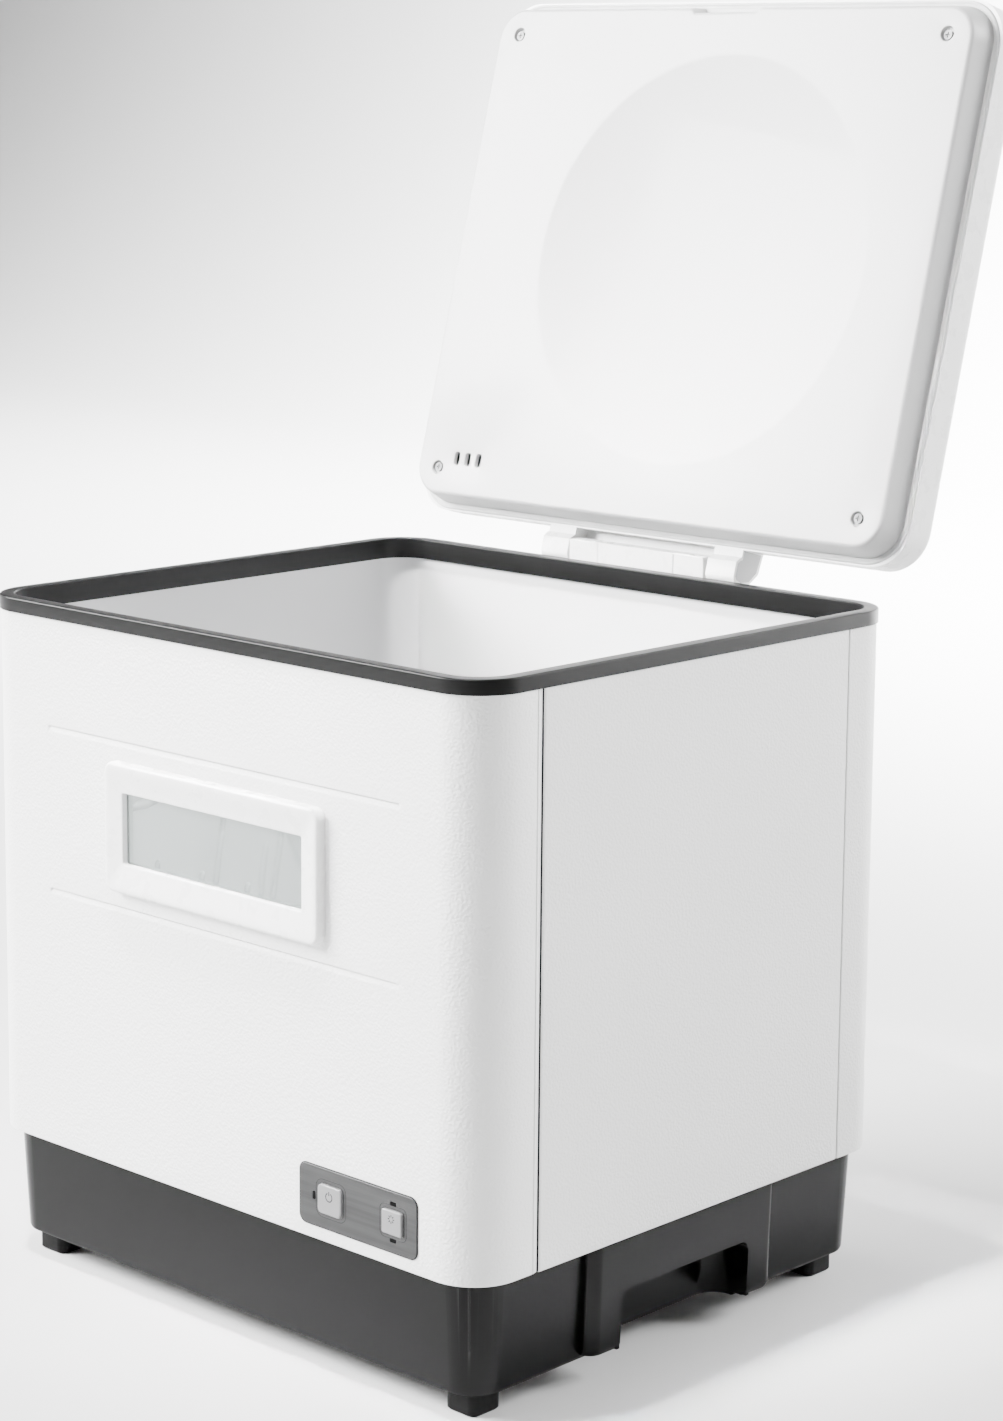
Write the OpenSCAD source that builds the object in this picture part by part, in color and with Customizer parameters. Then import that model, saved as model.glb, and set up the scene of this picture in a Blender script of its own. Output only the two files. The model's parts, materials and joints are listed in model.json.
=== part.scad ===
// Countertop dishwasher, loaded from above, drawn with its lid open.
// Millimetres, +Z up, front towards -Y. The floor is at z = 0 and the origin lies under the
// middle of the whole outer box, open lid included.

/* [Housing] */
// width over the outer sheets
body_w = 420; // [400:1:440]
// depth over the outer sheets
body_d = 361.4; // [345:0.2:380]
// corner radius of the outer sheets, seen from above
body_r = 30; // [26:1:36]
// height of the outer sheets
skin_h = 325.6; // [312:0.2:345]
// thickness of the outer sheets
sheet = 2; // [1.6:0.1:2.4]
// distance from the front face to the side seams
seam_front = 50; // [44:1:60]
// distance from the rear face to the side seams
seam_rear = 46; // [42:1:60]
// width of a side seam
seam_gap = 0.8; // [0.4:0.1:1.2]
// how far the rear skirt hangs below the sheets
skirt_drop = 43; // [20:1:50]
// distance from the sides to the rear skirt
skirt_in = 26; // [24:1:60]

/* [Front face] */
// height of the window's middle above the sheets' lower edge
window_up = 210; // [200:1:220]
// sideways place of the window's middle
window_x = 2; // [-20:1:20]
// distance between the two pressed grooves
groove_pitch = 99.8; // [90:0.2:110]
// length of a pressed groove
groove_len = 298; // [240:1:310]
// width of a pressed groove
groove_w = 3; // [2:0.2:4]
// depth of a pressed groove
groove_depth = 0.9; // [0.5:0.1:1]

/* [Window] */
// width of the clear opening
window_w = 152.5; // [140:0.5:160]
// height of the clear opening
window_h = 42.5; // [36:0.5:50]
// width of the frame's flat face
frame_face = 9.8; // [7:0.2:12]
// height of the frame's face where it is wider, above and below
frame_face_h = 12.8; // [10:0.2:15]
// how far the frame stands out of the sheet
frame_out = 6; // [4:0.5:8]
// width of the slope round the frame
frame_slope = 5; // [3:0.5:6]
// corner radius of the frame
frame_r = 7; // [5:0.5:9]
// how far the glass lies behind the frame's face
glass_recess = 5.5; // [4:0.5:6]
// thickness of the glass
glass_t = 3; // [2.5:0.5:3.5]
// how far the glass reaches behind the frame on each side
glass_lap = 3.5; // [2.5:0.5:4]
// wall of the frame's sleeve that goes through the sheet
sleeve_wall = 2.5; // [2:0.5:3]

/* [Controls] */
// width of the control plate
plate_w = 94; // [90:1:100]
// height of the control plate
plate_h = 36; // [34:1:38]
// thickness of the control plate
plate_t = 0.8; // [0.6:0.1:1.2]
// corner radius of the control plate
plate_r = 5.5; // [3:0.5:8]
// distance from the right side to the plate's middle
plate_in = 90.5; // [85:0.5:100]
// height of the plate's middle above the sheets' lower edge
plate_up = 25.8; // [24:0.2:28]
// width of the power button
power_w = 18.7; // [16:0.1:20]
// height of the power button
power_h = 16.9; // [14:0.1:18]
// corner radius of the power button
power_r = 3; // [1:0.5:4]
// width of the start button
start_w = 15.4; // [13:0.1:17]
// height of the start button
start_h = 13.8; // [12:0.1:15]
// corner radius of the start button
start_r = 1.5; // [1:0.5:3]
// distance from the plate's middle to the power button
power_off = 21; // [19:0.5:24]
// distance from the plate's middle to the start button
start_off = 28.3; // [26:0.1:31]
// distance from the plate's middle to the power lamp
lamp_off = 34.7; // [33:0.1:38]
// distance from the start button's middle to the lamps above and below it
lamp_pitch = 10.5; // [9.5:0.1:12]
// long side of a lamp slot
lamp_long = 4.6; // [3.5:0.1:6]
// short side of a lamp slot
lamp_short = 2.2; // [1.6:0.1:2.6]
// how far a button stands out of the plate
button_out = 1.6; // [1.4:0.1:3]
// travel of a button
button_travel = 1.2; // [0.6:0.1:1.3]
// gap round a button in the plate
button_gap = 0.5; // [0.3:0.1:0.7]

/* [Rim] */
// how far the rim stands out past the sheets
rim_proud = 1; // [0.5:0.1:2]
// height of the rim above the sheets
rim_h = 8.7; // [7:0.1:10]
// height of the rim's inner leg
rim_leg = 13.2; // [11:0.2:18]
// wall of the rim's inner leg
rim_wall = 2; // [1.6:0.1:2.4]
// thickness of the rim's top
rim_top = 3; // [2.5:0.1:4]
// rounding of the rim's top edge
rim_edge = 1.2; // [0.6:0.1:1.6]

/* [Tub] */
// wall of the tub
tub_wall = 2.5; // [2:0.1:3]
// gap between the tub and the outer sheets
tub_gap = 1.3; // [1:0.1:2]
// height of the tub's underside above the sheets' lower edge
tub_up = 50; // [49:0.5:54]
// thickness of the tub's floor
tub_floor = 3; // [2.5:0.1:3.5]
// rounding between the tub's floor and walls
tub_fillet = 17; // [10:1:19]

/* [Base] */
// height of the black base
base_h = 67.5; // [62:0.5:75]
// how far the base's top is set in from the sheets
inset_top = 7.7; // [6.5:0.1:9]
// how far the base's bottom is set in from the sheets
inset_bottom = 11.2; // [10.5:0.1:13]
// wall of the base
base_wall = 2.5; // [2:0.1:3]
// corner radius of the base at its bottom
base_r = 19.5; // [16:0.5:22]
// rounding of the base's lower edge
base_edge = 2.5; // [1.5:0.1:4]
// height of the collar that the sheets are screwed to
collar_h = 10; // [8:0.5:11]
// radius of the posts that carry the tub
post_r = 6; // [5:0.5:7]
// distance from the sides to those posts
post_side = 26; // [24:0.5:27]
// distance from the front and rear to those posts
post_end = 55.7; // [50.7:0.1:57.7]

/* [Feet] */
// side of a foot
foot_w = 23; // [20:0.5:26]
// height of a foot
foot_h = 14.5; // [12:0.5:18]
// corner radius of a foot
foot_r = 5; // [3:0.5:7]
// distance from the sheets to a foot's outer side
foot_inset = 20.4; // [18:0.2:24]
// chamfer of a foot's sole
foot_chamfer = 1.2; // [0.5:0.1:2]
// radius of the stud that holds a foot
stud_r = 3.7; // [3:0.1:4.5]

/* [Hand grips] */
// front and rear place of the grip's middle
grip_y = -3.5; // [-15:0.5:10]
// length of the block round a grip
block_len = 163; // [155:1:172]
// length of the grip's mouth
grip_len = 113; // [105:1:125]
// height of the grip's mouth above the block's lower edge
grip_h = 35.5; // [30:0.5:42]
// depth of the grip
grip_depth = 29; // [24:0.5:29]
// lean of the block's outer side, from top to bottom
block_lean = 2; // [1:0.1:3]
// how far the block's lower edge is above the base's underside
block_up = 2; // [1:0.5:4]
// radius of the block's outer corners
block_r = 8; // [5:0.5:10]
// rounding of the block's lower edge
block_edge = 4; // [2:0.5:6]
// radius at the grip's deep corners
grip_r = 14; // [8:1:20]
// radius at the grip's upper corners
arch_r = 7; // [4:0.5:10]

/* [Lid] */
// how far the lid is set in from the sheets
lid_inset = 4; // [3:0.5:6]
// height of the lid's shell
lid_h = 27; // [24:0.5:30]
// corner radius of the lid
lid_r = 27; // [25:1:30]
// rounding of the lid's top edge
lid_edge = 9; // [6:0.5:11]
// wall of the lid's shell
lid_wall = 2.2; // [1.8:0.1:2.6]
// how far the seal stands out of the lid
seal_out = 1; // [0.8:0.1:1.4]
// width of the seal's lip
seal_lip = 4.1; // [3.6:0.1:4.3]
// depth of the inner panel below the lid's edge
liner_depth = 17.3; // [14:0.1:20]
// width lost on each side by the inner panel's lean
liner_lean = 4.3; // [3:0.1:6]
// wall of the inner panel
liner_wall = 2; // [1.6:0.1:2.4]
// corner radius of the inner panel
liner_r = 25; // [23:0.5:28]
// how far the inner panel goes up into the shell
liner_root = 6; // [4:0.5:8]
// radius of the dish in the inner panel
dish_r = 134; // [120:1:138]
// depth of the dish
dish_depth = 14; // [10:0.5:16]
// sideways place of the dish
dish_x = 14; // [-15:1:16]
// distance from the hinge edge of the panel to the dish's middle
dish_s = 171; // [160:1:176]
// distance from a panel edge to its screws, sideways
screw_in = 18.7; // [17.5:0.1:21]
// distance from a panel edge to its screws, front and rear
screw_s = 17.5; // [17.5:0.1:20]
// radius of the recess round a screw
recess_r = 4.8; // [4.4:0.1:5.2]
// radius of a screw head
head_r = 3; // [2.6:0.1:3.6]
// radius of a screw
screw_r = 1.6; // [1.4:0.1:1.9]
// distance from the panel's side to the middle vent slot
vent_in = 45; // [40:0.2:48]
// distance between two vent slots
vent_pitch = 9.9; // [8:0.1:11]
// width of a vent slot
vent_w = 5; // [4:0.1:6]
// length of a vent slot
vent_l = 9.4; // [8:0.1:12]
// distance from the panel's hinge edge to the vent slots
vent_s = 25; // [22:0.5:28]
// width of the notch in the panel's free edge
notch_w = 54; // [40:1:70]
// depth of that notch
notch_d = 3; // [2:0.1:4]

/* [Hinge] */
// angle of the lid when open
open_angle = 105; // [95:1:110]
// distance from the rear face to the hinge axis
hinge_back = 10; // [9.8:0.1:11]
// height of the hinge axis above the rim
hinge_up = 4.7; // [4.5:0.1:5.5]
// radius of the knuckles
knuckle_r = 8; // [7.5:0.1:8.2]
// radius of the hinge pin
pin_r = 4; // [3:0.1:4.5]
// width of the middle knuckle
mid_w = 64; // [50:1:80]
// width over the two outer knuckles
block_w = 114; // [100:1:120]
// width of an ear of the lid
ear_w = 23; // [18:1:28]
// gap between an ear and the knuckles
ear_gap = 2; // [1:0.2:3]
// height of the bar that joins the ears
bar_h = 6.2; // [5:0.2:8]
// depth of that bar
bar_d = 12.5; // [10:0.1:12.5]
// height of the bracket's pad on the rear sheet
pad_h = 32; // [26:1:40]
// thickness of the bracket's pad
pad_t = 4.3; // [3.5:0.1:5]

/* [Wash parts] */
// distance from the right side to the filter's middle
filter_side = 72; // [68:1:76]
// distance from the front to the filter's middle
filter_front = 76.7; // [74.7:0.1:78.7]
// radius of the filter basket
filter_r = 30; // [28:0.5:31]
// depth of the filter basket
filter_h = 44; // [38:1:48]
// wall of the filter basket
filter_wall = 1.6; // [1.2:0.1:2]
// wall of the sump and the pump housings
pump_wall = 2.5; // [2:0.1:3]
// radius of the sump
sump_r = 37; // [36:0.5:38]
// height of the pump axis above the base's floor
pump_up = 75; // [74:0.5:77]
// distance of the pump's outlet from the spray post
pump_side = 41; // [38:0.5:44]
// radius of the pump housing
volute_r = 30; // [28:0.5:31]
// length of the pump housing
volute_l = 28; // [26:0.5:32]
// radius of the pump motor
motor_r = 26; // [24:0.5:27]
// length of the pump motor
motor_l = 58; // [50:1:64]
// radius of the impeller
rotor_r = 23; // [20:0.5:24]
// radius of the pump shaft
shaft_r = 4; // [3:0.5:4.5]
// gap between the sump's spigot and the pump's
spigot_gap = 12; // [10:0.5:16]
// outer radius of the wash spigots
spigot_r = 9; // [8.5:0.1:9.5]
// wall of a spigot
spigot_wall = 2; // [1.5:0.1:2.5]
// wall of a hose
hose_wall = 2.6; // [2:0.1:3]
// radius of the water heater
heater_r = 16; // [14:0.5:16.5]
// straight length of hose between the heater and its bend
feed_run = 9; // [8:0.5:12]
// bend radius of the feed hose
feed_bend = 20; // [18:0.5:21]
// radius swept by the spray arm
arm_r = 134; // [110:1:135]
// width of the spray arm at its hub
arm_w = 30; // [24:1:34]
// width of the spray arm at its ends
tip_w = 20; // [16:1:24]
// thickness of the spray arm
arm_h = 9; // [8:0.5:11]
// height of the spray arm above the tub's floor
arm_up = 12; // [10:0.5:15]
// radius of the spray arm's spindle
spindle_r = 6; // [5:0.5:7]
// distance between two spray nozzles
nozzle_pitch = 18; // [15:0.5:20]

/* [Drain] */
// radius of the drain pump's housing
drain_r = 22; // [20:0.5:23]
// length of the drain pump's housing
drain_l = 20; // [18:0.5:24]
// radius of the drain spigots
drain_spigot_r = 8; // [7.5:0.1:8.5]
// bend radius of the drain hose
drain_bend = 14; // [12:0.5:16]
// length of the spigot behind the machine
outlet_l = 24; // [16:1:30]
// distance from the left side to the cord gland
gland_side = 60; // [50:1:90]

/* [Rack] */
// gap between the rack and the tub walls
rack_gap = 12; // [10:0.5:16]
// radius of the rack's frame wire
wire_r = 2.5; // [2:0.1:3]
// radius of the rack's thin wires
thin_r = 1.8; // [1.5:0.1:2.2]
// height of the rack's floor above the tub's floor
rack_up = 37; // [35:0.5:42]
// height of the rack's rail above its floor
rail_up = 90; // [80:1:100]
// height of the plate tines
tine_h = 62; // [50:1:70]
// distance between two tines in a row
tine_pitch = 42; // [36:1:46]
// number of tines in a row
tine_count = 9; // [7:1:9]
// distance between two rows
row_pitch = 50; // [44:1:56]
// corner radius of the rack
rack_r = 24; // [18:1:30]

/* [Hidden] */
$fn = 48;
fit_gap = 0.3;                 // pieces that are fixed or that slide past each other
run_gap = 0.05;                // shafts that turn in a bore
eps = 0.01;

skin_z = foot_h + base_h;
skin_top = skin_z + skin_h;
half_w = body_w / 2;
half_d = body_d / 2;
skirt_w = body_w - 2 * skirt_in;
post_x = half_w - post_side;
post_y = half_d - post_end;
filter_x = half_w - filter_side;
filter_y = -half_d + filter_front;
gland_x = -half_w + gland_side;
plate_x = half_w - plate_in;
rim_z = skin_top + rim_h;
rim_in = sheet + tub_gap + tub_wall + fit_gap + rim_wall;
tub_out = sheet + tub_gap;
tub_in = tub_out + tub_wall;
tub_z = skin_z + tub_up;
floor_z = tub_z + tub_floor;
tub_top = rim_z - rim_top - fit_gap;
pan_z = foot_h + base_wall;

window_z = skin_z + window_up;
front_y = -half_d;
frame_w = window_w + 2 * (frame_face + frame_slope);
frame_h = window_h + 2 * (frame_face_h + frame_slope);
glass_w = window_w + 2 * glass_lap;
glass_h = window_h + 2 * glass_lap;
glass_y = front_y - frame_out + glass_recess;
hole_w = glass_w + 2 * (fit_gap + sleeve_wall);
hole_h = glass_h + 2 * (fit_gap + sleeve_wall);

plate_z = skin_z + plate_up;
power_x = plate_x - power_off;
start_x = plate_x + start_off;
lamp_x = plate_x - lamp_off;
inner_y = front_y + sheet;     // inner side of the front sheet
button_y = front_y - plate_t - button_out;
flange_y = inner_y + fit_gap;
flange_t = 1.6;
flange_lap = 1.8;
stem_y = flange_y + flange_t + 4;
plunger_y = stem_y + button_travel + fit_gap;
switch_y = plunger_y + 1.6;
board_y = switch_y + 5;
board_t = 1.6;
tray_wall = 1.6;
tray_top = tub_z - fit_gap - 1;
tray_bottom = skin_z + 2 + collar_h + fit_gap;
tray_back = board_y + board_t + 3;

lid_z = rim_z + seal_out + fit_gap;
lid_top = lid_z + lid_h;
lid_half_w = half_w - lid_inset;
lid_half_d = half_d - lid_inset;
panel_z = lid_z - liner_depth;
seal_in_w = lid_half_w - 1 - seal_lip;
seal_in_d = lid_half_d - 1 - seal_lip;
root_w = seal_in_w - 0.2;
root_d = seal_in_d - 0.2;
panel_w = root_w - liner_lean;
panel_d = root_d - liner_lean;
dish_y = panel_d - dish_s;
dish_ball = (dish_r * dish_r + dish_depth * dish_depth) / (2 * dish_depth);
screw_x = panel_w - screw_in;
screw_y = panel_d - screw_s;
recess_deep = 3;
vent_x = -(panel_w - vent_in);

hinge_y = half_d + hinge_back;
hinge_z = rim_z + hinge_up;
ear_x = block_w / 2 + ear_gap;
bar_z = hinge_z + knuckle_r + fit_gap;
swing_r = norm([hinge_back - rim_proud, hinge_up]) - fit_gap;   // what may swing past the rim
pin_end = ear_x + ear_w - 3;   // the right ear is closed, so the pin goes in from the left

// the outer box, open lid included, gives the place of the origin
lid_reach = hinge_y + lid_half_d - lid_edge;
lid_rise = lid_top - lid_edge - hinge_z;
back_y = hinge_y - lid_reach * cos(open_angle) + lid_rise * sin(open_angle) + lid_edge;
body_y = -(back_y + front_y - frame_out) / 2;

pump_y = filter_y;
pump_z = pan_z + pump_up;
sump_z = pump_z - 16;
outlet_x = pump_side;
volute_x = outlet_x + volute_l / 2;      // front face of the pump housing
spigots_l = filter_x - sump_r - volute_x - spigot_gap;   // shared by the two spigots of the suction
inlet_x = volute_x + spigots_l / 2 - 1;  // end of the pump's inlet spigot
suction_x = inlet_x + spigot_gap;        // end of the sump's suction spigot
suction_grip = (inlet_x - volute_x) / 2; // length of hose on each spigot
outlet_z = pump_z + volute_r - spigot_r - pump_wall;
outlet_y = pump_y + volute_r + 9;
heater_y = outlet_y + 10;
feed_y = -feed_bend;
heater_l = feed_y - feed_run - heater_y;
strap_l = heater_l * 5 / 13;   // the heater's strap under the tub
drain_x = filter_x - 18;
drain_z = pump_z;
drain_in_y = filter_y + sump_r + 6;      // end of the sump's drain spigot
drain_y = drain_in_y + 14;               // front face of the drain pump's housing
drain_out_z = drain_z + drain_r - drain_spigot_r;
drain_out_x = drain_x + 30;
rear_x = drain_out_x + drain_bend;
rear_y = half_d - sheet;
gland_z = drain_out_z;

board_x = -half_w + 92;        // the power board's middle and its screws' half pitches
board_yy = half_d - 150.7;
board_a = 48;
board_b = 36;
thermo_x = -half_w + 150;
thermo_y = -half_d + 120.7;

arm_z = floor_z + arm_up;
rack_z = floor_z + rack_up;
rack_w = half_w - tub_in - rack_gap;
rack_d = half_d - tub_in - rack_gap;
rail_z = rack_z + rail_up;
grid_z = rack_z + wire_r + thin_r - 0.6;
row_z = grid_z + 2 * thin_r + 0.05;

// ---------------------------------------------------------------- shared forms

// moves a piece from the housing's own middle to the origin's place
module in_place() translate([0, body_y, 0]) children();

// turns a piece that is drawn on the closed lid to the open lid
module opened()
    translate([0, hinge_y, hinge_z])
        rotate([-open_angle, 0, 0])
            translate([0, -hinge_y, -hinge_z])
                children();

// rounded rectangle, given by its half sizes
module outline(a, b, r) {
    square([2 * a - 2 * r, 2 * b], center = true);
    square([2 * a, 2 * b - 2 * r], center = true);
    for (x = [-1, 1])
        for (y = [-1, 1])
            translate([x * (a - r), y * (b - r)])
                circle(r);
}

// upright block with rounded corners, from z0 up to z1
module block(a, b, r, z0, z1)
    translate([0, 0, z0])
        linear_extrude(z1 - z0)
            outline(a, b, r);

// flat plate that faces the front, from y0 back to y1, about a place on the front
module face(w, h, r, x, z, y0, y1)
    translate([x, y1, z])
        rotate([90, 0, 0])
            linear_extrude(y1 - y0)
                outline(w / 2, h / 2, r);

// half of a profile whose upper corner is rounded by t
module soft_half(a, h, t)
    difference() {
        square([a, h]);
        difference() {
            translate([a - t, h - t])
                square([2 * t, 2 * t]);
            translate([a - t, h - t])
                circle(t);
        }
    }

// block with rounded corners and a rounded top edge, standing on z = 0
module soft_block(a, b, h, r, t) {
    for (x = [-1, 1])
        for (y = [-1, 1])
            translate([x * (a - r), y * (b - r), 0])
                rotate_extrude()
                    soft_half(r, h, t);
    translate([0, b - r, 0])
        rotate([90, 0, 0])
            linear_extrude(2 * (b - r))
                for (s = [0, 1])
                    mirror([s, 0])
                        soft_half(a, h, t);
    translate([-(a - r), 0, 0])
        rotate([90, 0, 90])
            linear_extrude(2 * (a - r))
                for (s = [0, 1])
                    mirror([s, 0])
                        soft_half(b, h, t);
}

// rod along X, Y or Z between two places
module rod_x(r, x0, x1, y, z) translate([x0, y, z]) rotate([0, 90, 0]) cylinder(r = r, h = x1 - x0);
module rod_y(r, x, y0, y1, z) translate([x, y0, z]) rotate([-90, 0, 0]) cylinder(r = r, h = y1 - y0);
module rod_z(r, x, y, z0, z1) translate([x, y, z0]) cylinder(r = r, h = z1 - z0);

// quarter of a ring of wire or hose, in the first quadrant of its own plane
module quarter(bend, r)
    rotate_extrude(angle = 90)
        translate([bend, 0])
            circle(r);

// closed loop of wire with rounded corners, lying flat
module wire_loop(a, b, bend, r) {
    for (s = [-1, 1]) {
        rod_x(r, -(a - bend), a - bend, s * b, 0);
        rod_y(r, s * a, -(b - bend), b - bend, 0);
    }
    for (q = [0 : 3])
        rotate([0, 0, 90 * q])
            translate(q % 2 == 0 ? [a - bend, b - bend, 0] : [b - bend, a - bend, 0])
                quarter(bend, r);
}

// ---------------------------------------------------------------- base and feet

module base_form(extra, floor_up) {
    bottom = inset_bottom + extra;
    top = inset_top + extra;
    r_low = base_r - extra;
    r_high = base_r + inset_bottom - inset_top - extra;
    edge = base_edge;
    hull() {
        block(half_w - bottom - edge, half_d - bottom - edge, r_low - edge,
            foot_h + floor_up, foot_h + floor_up + eps, $fn = 64);
        block(half_w - bottom - 0.3 * edge, half_d - bottom - 0.3 * edge, r_low - 0.3 * edge,
            foot_h + floor_up + 0.3 * edge, foot_h + floor_up + 0.3 * edge + eps, $fn = 64);
        block(half_w - bottom, half_d - bottom, r_low,
            foot_h + floor_up + edge, foot_h + floor_up + edge + eps, $fn = 64);
        block(half_w - top, half_d - top, r_high, skin_z - eps, skin_z, $fn = 64);
    }
}

module grip_block() {
    low = foot_h + block_up;
    slices = [[block_edge, 0], [0.3 * block_edge, 0.3 * block_edge], [0, block_edge],
        [-block_lean, skin_z - fit_gap - low - eps]];
    intersection() {
        hull()
            for (s = slices)
                translate([half_w - block_lean - 2 * block_r - s[0], grip_y, low + s[1]])
                    block(2 * block_r, block_len / 2 - max(s[0], 0), block_r, 0, eps, $fn = 64);
        translate([half_w - inset_bottom - base_wall, -body_d, 0])
            cube([body_w, 2 * body_d, skin_z]);
    }
    translate([half_w - grip_depth - base_wall, grip_y - grip_len / 2 - base_wall, foot_h + base_edge])
        cube([grip_depth, grip_len + 2 * base_wall, block_up + grip_h + base_wall - base_edge]);
}

module grip_cut() {
    roof = foot_h + block_up + grip_h;
    intersection() {
        translate([half_w - grip_depth, grip_y, foot_h - 1])
            linear_extrude(roof - foot_h + 1) {
                translate([grip_depth, 0])
                    outline(grip_depth, grip_len / 2, grip_r);
                translate([grip_depth - base_wall - inset_bottom, -grip_len / 2])
                    square([2 * grip_depth, grip_len]);
            }
        translate([half_w - grip_depth - 1, grip_y, 0])
            rotate([90, 0, 90])
                linear_extrude(grip_depth + 10) {
                    translate([0, roof - grip_h])
                        outline(grip_len / 2, grip_h, arch_r);
                    translate([-grip_len / 2, 0])
                        square([grip_len, roof - grip_h]);
                }
    }
}

module foot_places()
    for (x = [-1, 1])
        for (y = [-1, 1])
            translate([x * (half_w - foot_inset - foot_w / 2), y * (half_d - foot_inset - foot_w / 2), 0])
                children();

module base_pan() color("#151515") in_place() {
    ledge_in = inset_top + base_wall;
    collar_out = sheet + fit_gap;
    difference() {
        union() {
            base_form(0, 0);
            block(half_w - collar_out, half_d - collar_out, body_r - collar_out, skin_z, skin_z + 2);
            for (s = [0, 1])
                mirror([s, 0, 0])
                    intersection() {
                        grip_block();
                        translate([0, -body_d, 0])
                            cube([body_w, 2 * body_d, skin_z]);
                    }
        }
        difference() {
            base_form(base_wall, base_wall);
            for (s = [0, 1])
                mirror([s, 0, 0])
                    grip_block();
            for (x = [-1, 1])
                for (y = [-1, 1])
                    rod_z(post_r, x * post_x, y * post_y, foot_h, skin_z);
        }
        difference() {
            block(half_w - ledge_in, half_d - ledge_in, body_r - ledge_in, skin_z - 1, skin_z + 3);
            for (x = [-1, 1])
                for (y = [-1, 1])
                    rod_z(post_r, x * post_x, y * post_y, foot_h, skin_z + 4);
        }
        for (s = [0, 1])
            mirror([s, 0, 0])
                grip_cut();
        foot_places()
            rod_z(stud_r + fit_gap, 0, 0, foot_h - 1, pan_z + 1);
    }
    difference() {
        block(half_w - collar_out, half_d - collar_out, body_r - collar_out,
            skin_z + 2 - eps, skin_z + 2 + collar_h);
        block(half_w - collar_out - base_wall, half_d - collar_out - base_wall,
            body_r - collar_out - base_wall, skin_z, skin_z + 3 + collar_h);
        rear_screw_holes();
    }
    for (x = [-1, 1])
        for (y = [-1, 1])
            rod_z(post_r, x * post_x, y * post_y, skin_z - eps, tub_z - fit_gap);
    for (x = [-1, 1])
        for (y = [-1, 1])
            rod_z(4, board_x + x * board_a, board_yy + y * board_b, pan_z - eps, pan_z + 7);
}

module foot() {
    difference() {
        union() {
            translate([0, 0, foot_chamfer])
                linear_extrude(foot_h - foot_chamfer)
                    outline(foot_w / 2, foot_w / 2, foot_r);
            hull() {
                block(foot_w / 2 - foot_chamfer, foot_w / 2 - foot_chamfer, foot_r - foot_chamfer,
                    0, eps, $fn = 24);
                block(foot_w / 2, foot_w / 2, foot_r, foot_chamfer, foot_chamfer + eps, $fn = 24);
            }
        }
        rod_z(4.5, 0, 0, -1, 4);
    }
    rod_z(stud_r, 0, 0, foot_h - eps, pan_z + 1.5);
}

module foot_at(x, y) color("#2a2a2a") in_place()
    translate([x * (half_w - foot_inset - foot_w / 2), y * (half_d - foot_inset - foot_w / 2), 0])
        foot();

module foot_front_left() foot_at(-1, -1);
module foot_front_right() foot_at(1, -1);
module foot_rear_left() foot_at(-1, 1);
module foot_rear_right() foot_at(1, 1);

// ---------------------------------------------------------------- outer sheets

module skin_ring(z0, z1)
    difference() {
        block(half_w, half_d, body_r, z0, z1);
        block(half_w - sheet, half_d - sheet, body_r - sheet, z0 - 1, z1 + 1);
    }

module groove(z) {
    ball = (groove_w * groove_w / 4 + groove_depth * groove_depth) / (2 * groove_depth);
    translate([window_x, front_y - ball + groove_depth, z])
        rotate([0, 90, 0])
            cylinder(r = ball, h = groove_len, center = true);
}

module button_hole(w, h, r, x, gap, y0, y1)
    face(w + 2 * gap, h + 2 * gap, r + gap, x, plate_z, y0, y1);

module lamp_cut(gap, y0, y1) {
    face(lamp_short + 2 * gap, lamp_long + 2 * gap, 0.6 + gap, lamp_x, plate_z, y0, y1);
    for (s = [-1, 1])
        face(lamp_long + 2 * gap, lamp_short + 2 * gap, 0.6 + gap,
            start_x, plate_z + s * lamp_pitch, y0, y1);
}

module front_shell() color("#f1f1ef") in_place()
    difference() {
        skin_ring(skin_z, skin_top);
        translate([-body_w, front_y + seam_front - seam_gap / 2, 0])
            cube([2 * body_w, body_d, 2 * skin_top]);
        for (s = [-1, 1])
            groove(window_z + s * groove_pitch / 2);
        face(hole_w + 2 * fit_gap, hole_h + 2 * fit_gap, frame_r - 2, window_x, window_z,
            front_y - 1, inner_y + 1);
        button_hole(power_w, power_h, power_r, power_x, button_gap, front_y - 1, inner_y + 1);
        button_hole(start_w, start_h, start_r, start_x, button_gap, front_y - 1, inner_y + 1);
        lamp_cut(fit_gap, front_y - 1, inner_y + 1);
    }

module side_panel(s) color("#f1f1ef") in_place()
    translate([s > 0 ? half_w - sheet : -half_w, front_y + seam_front + seam_gap / 2, skin_z])
        cube([sheet, body_d - seam_front - seam_rear - seam_gap, skin_h]);

module side_panel_left() side_panel(-1);
module side_panel_right() side_panel(1);

rear_screw_x = [-half_w + 60, -60, 60, half_w - 60];
rear_screw_z = skin_z + 2 + collar_h / 2;
pad_screw_x = 20;
pad_low = rim_z - rim_h - 4 - pad_h;

module rear_screw_holes()
    for (x = rear_screw_x)
        rod_y(screw_r + fit_gap, x, rear_y - 5, half_d + 1, rear_screw_z);

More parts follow.
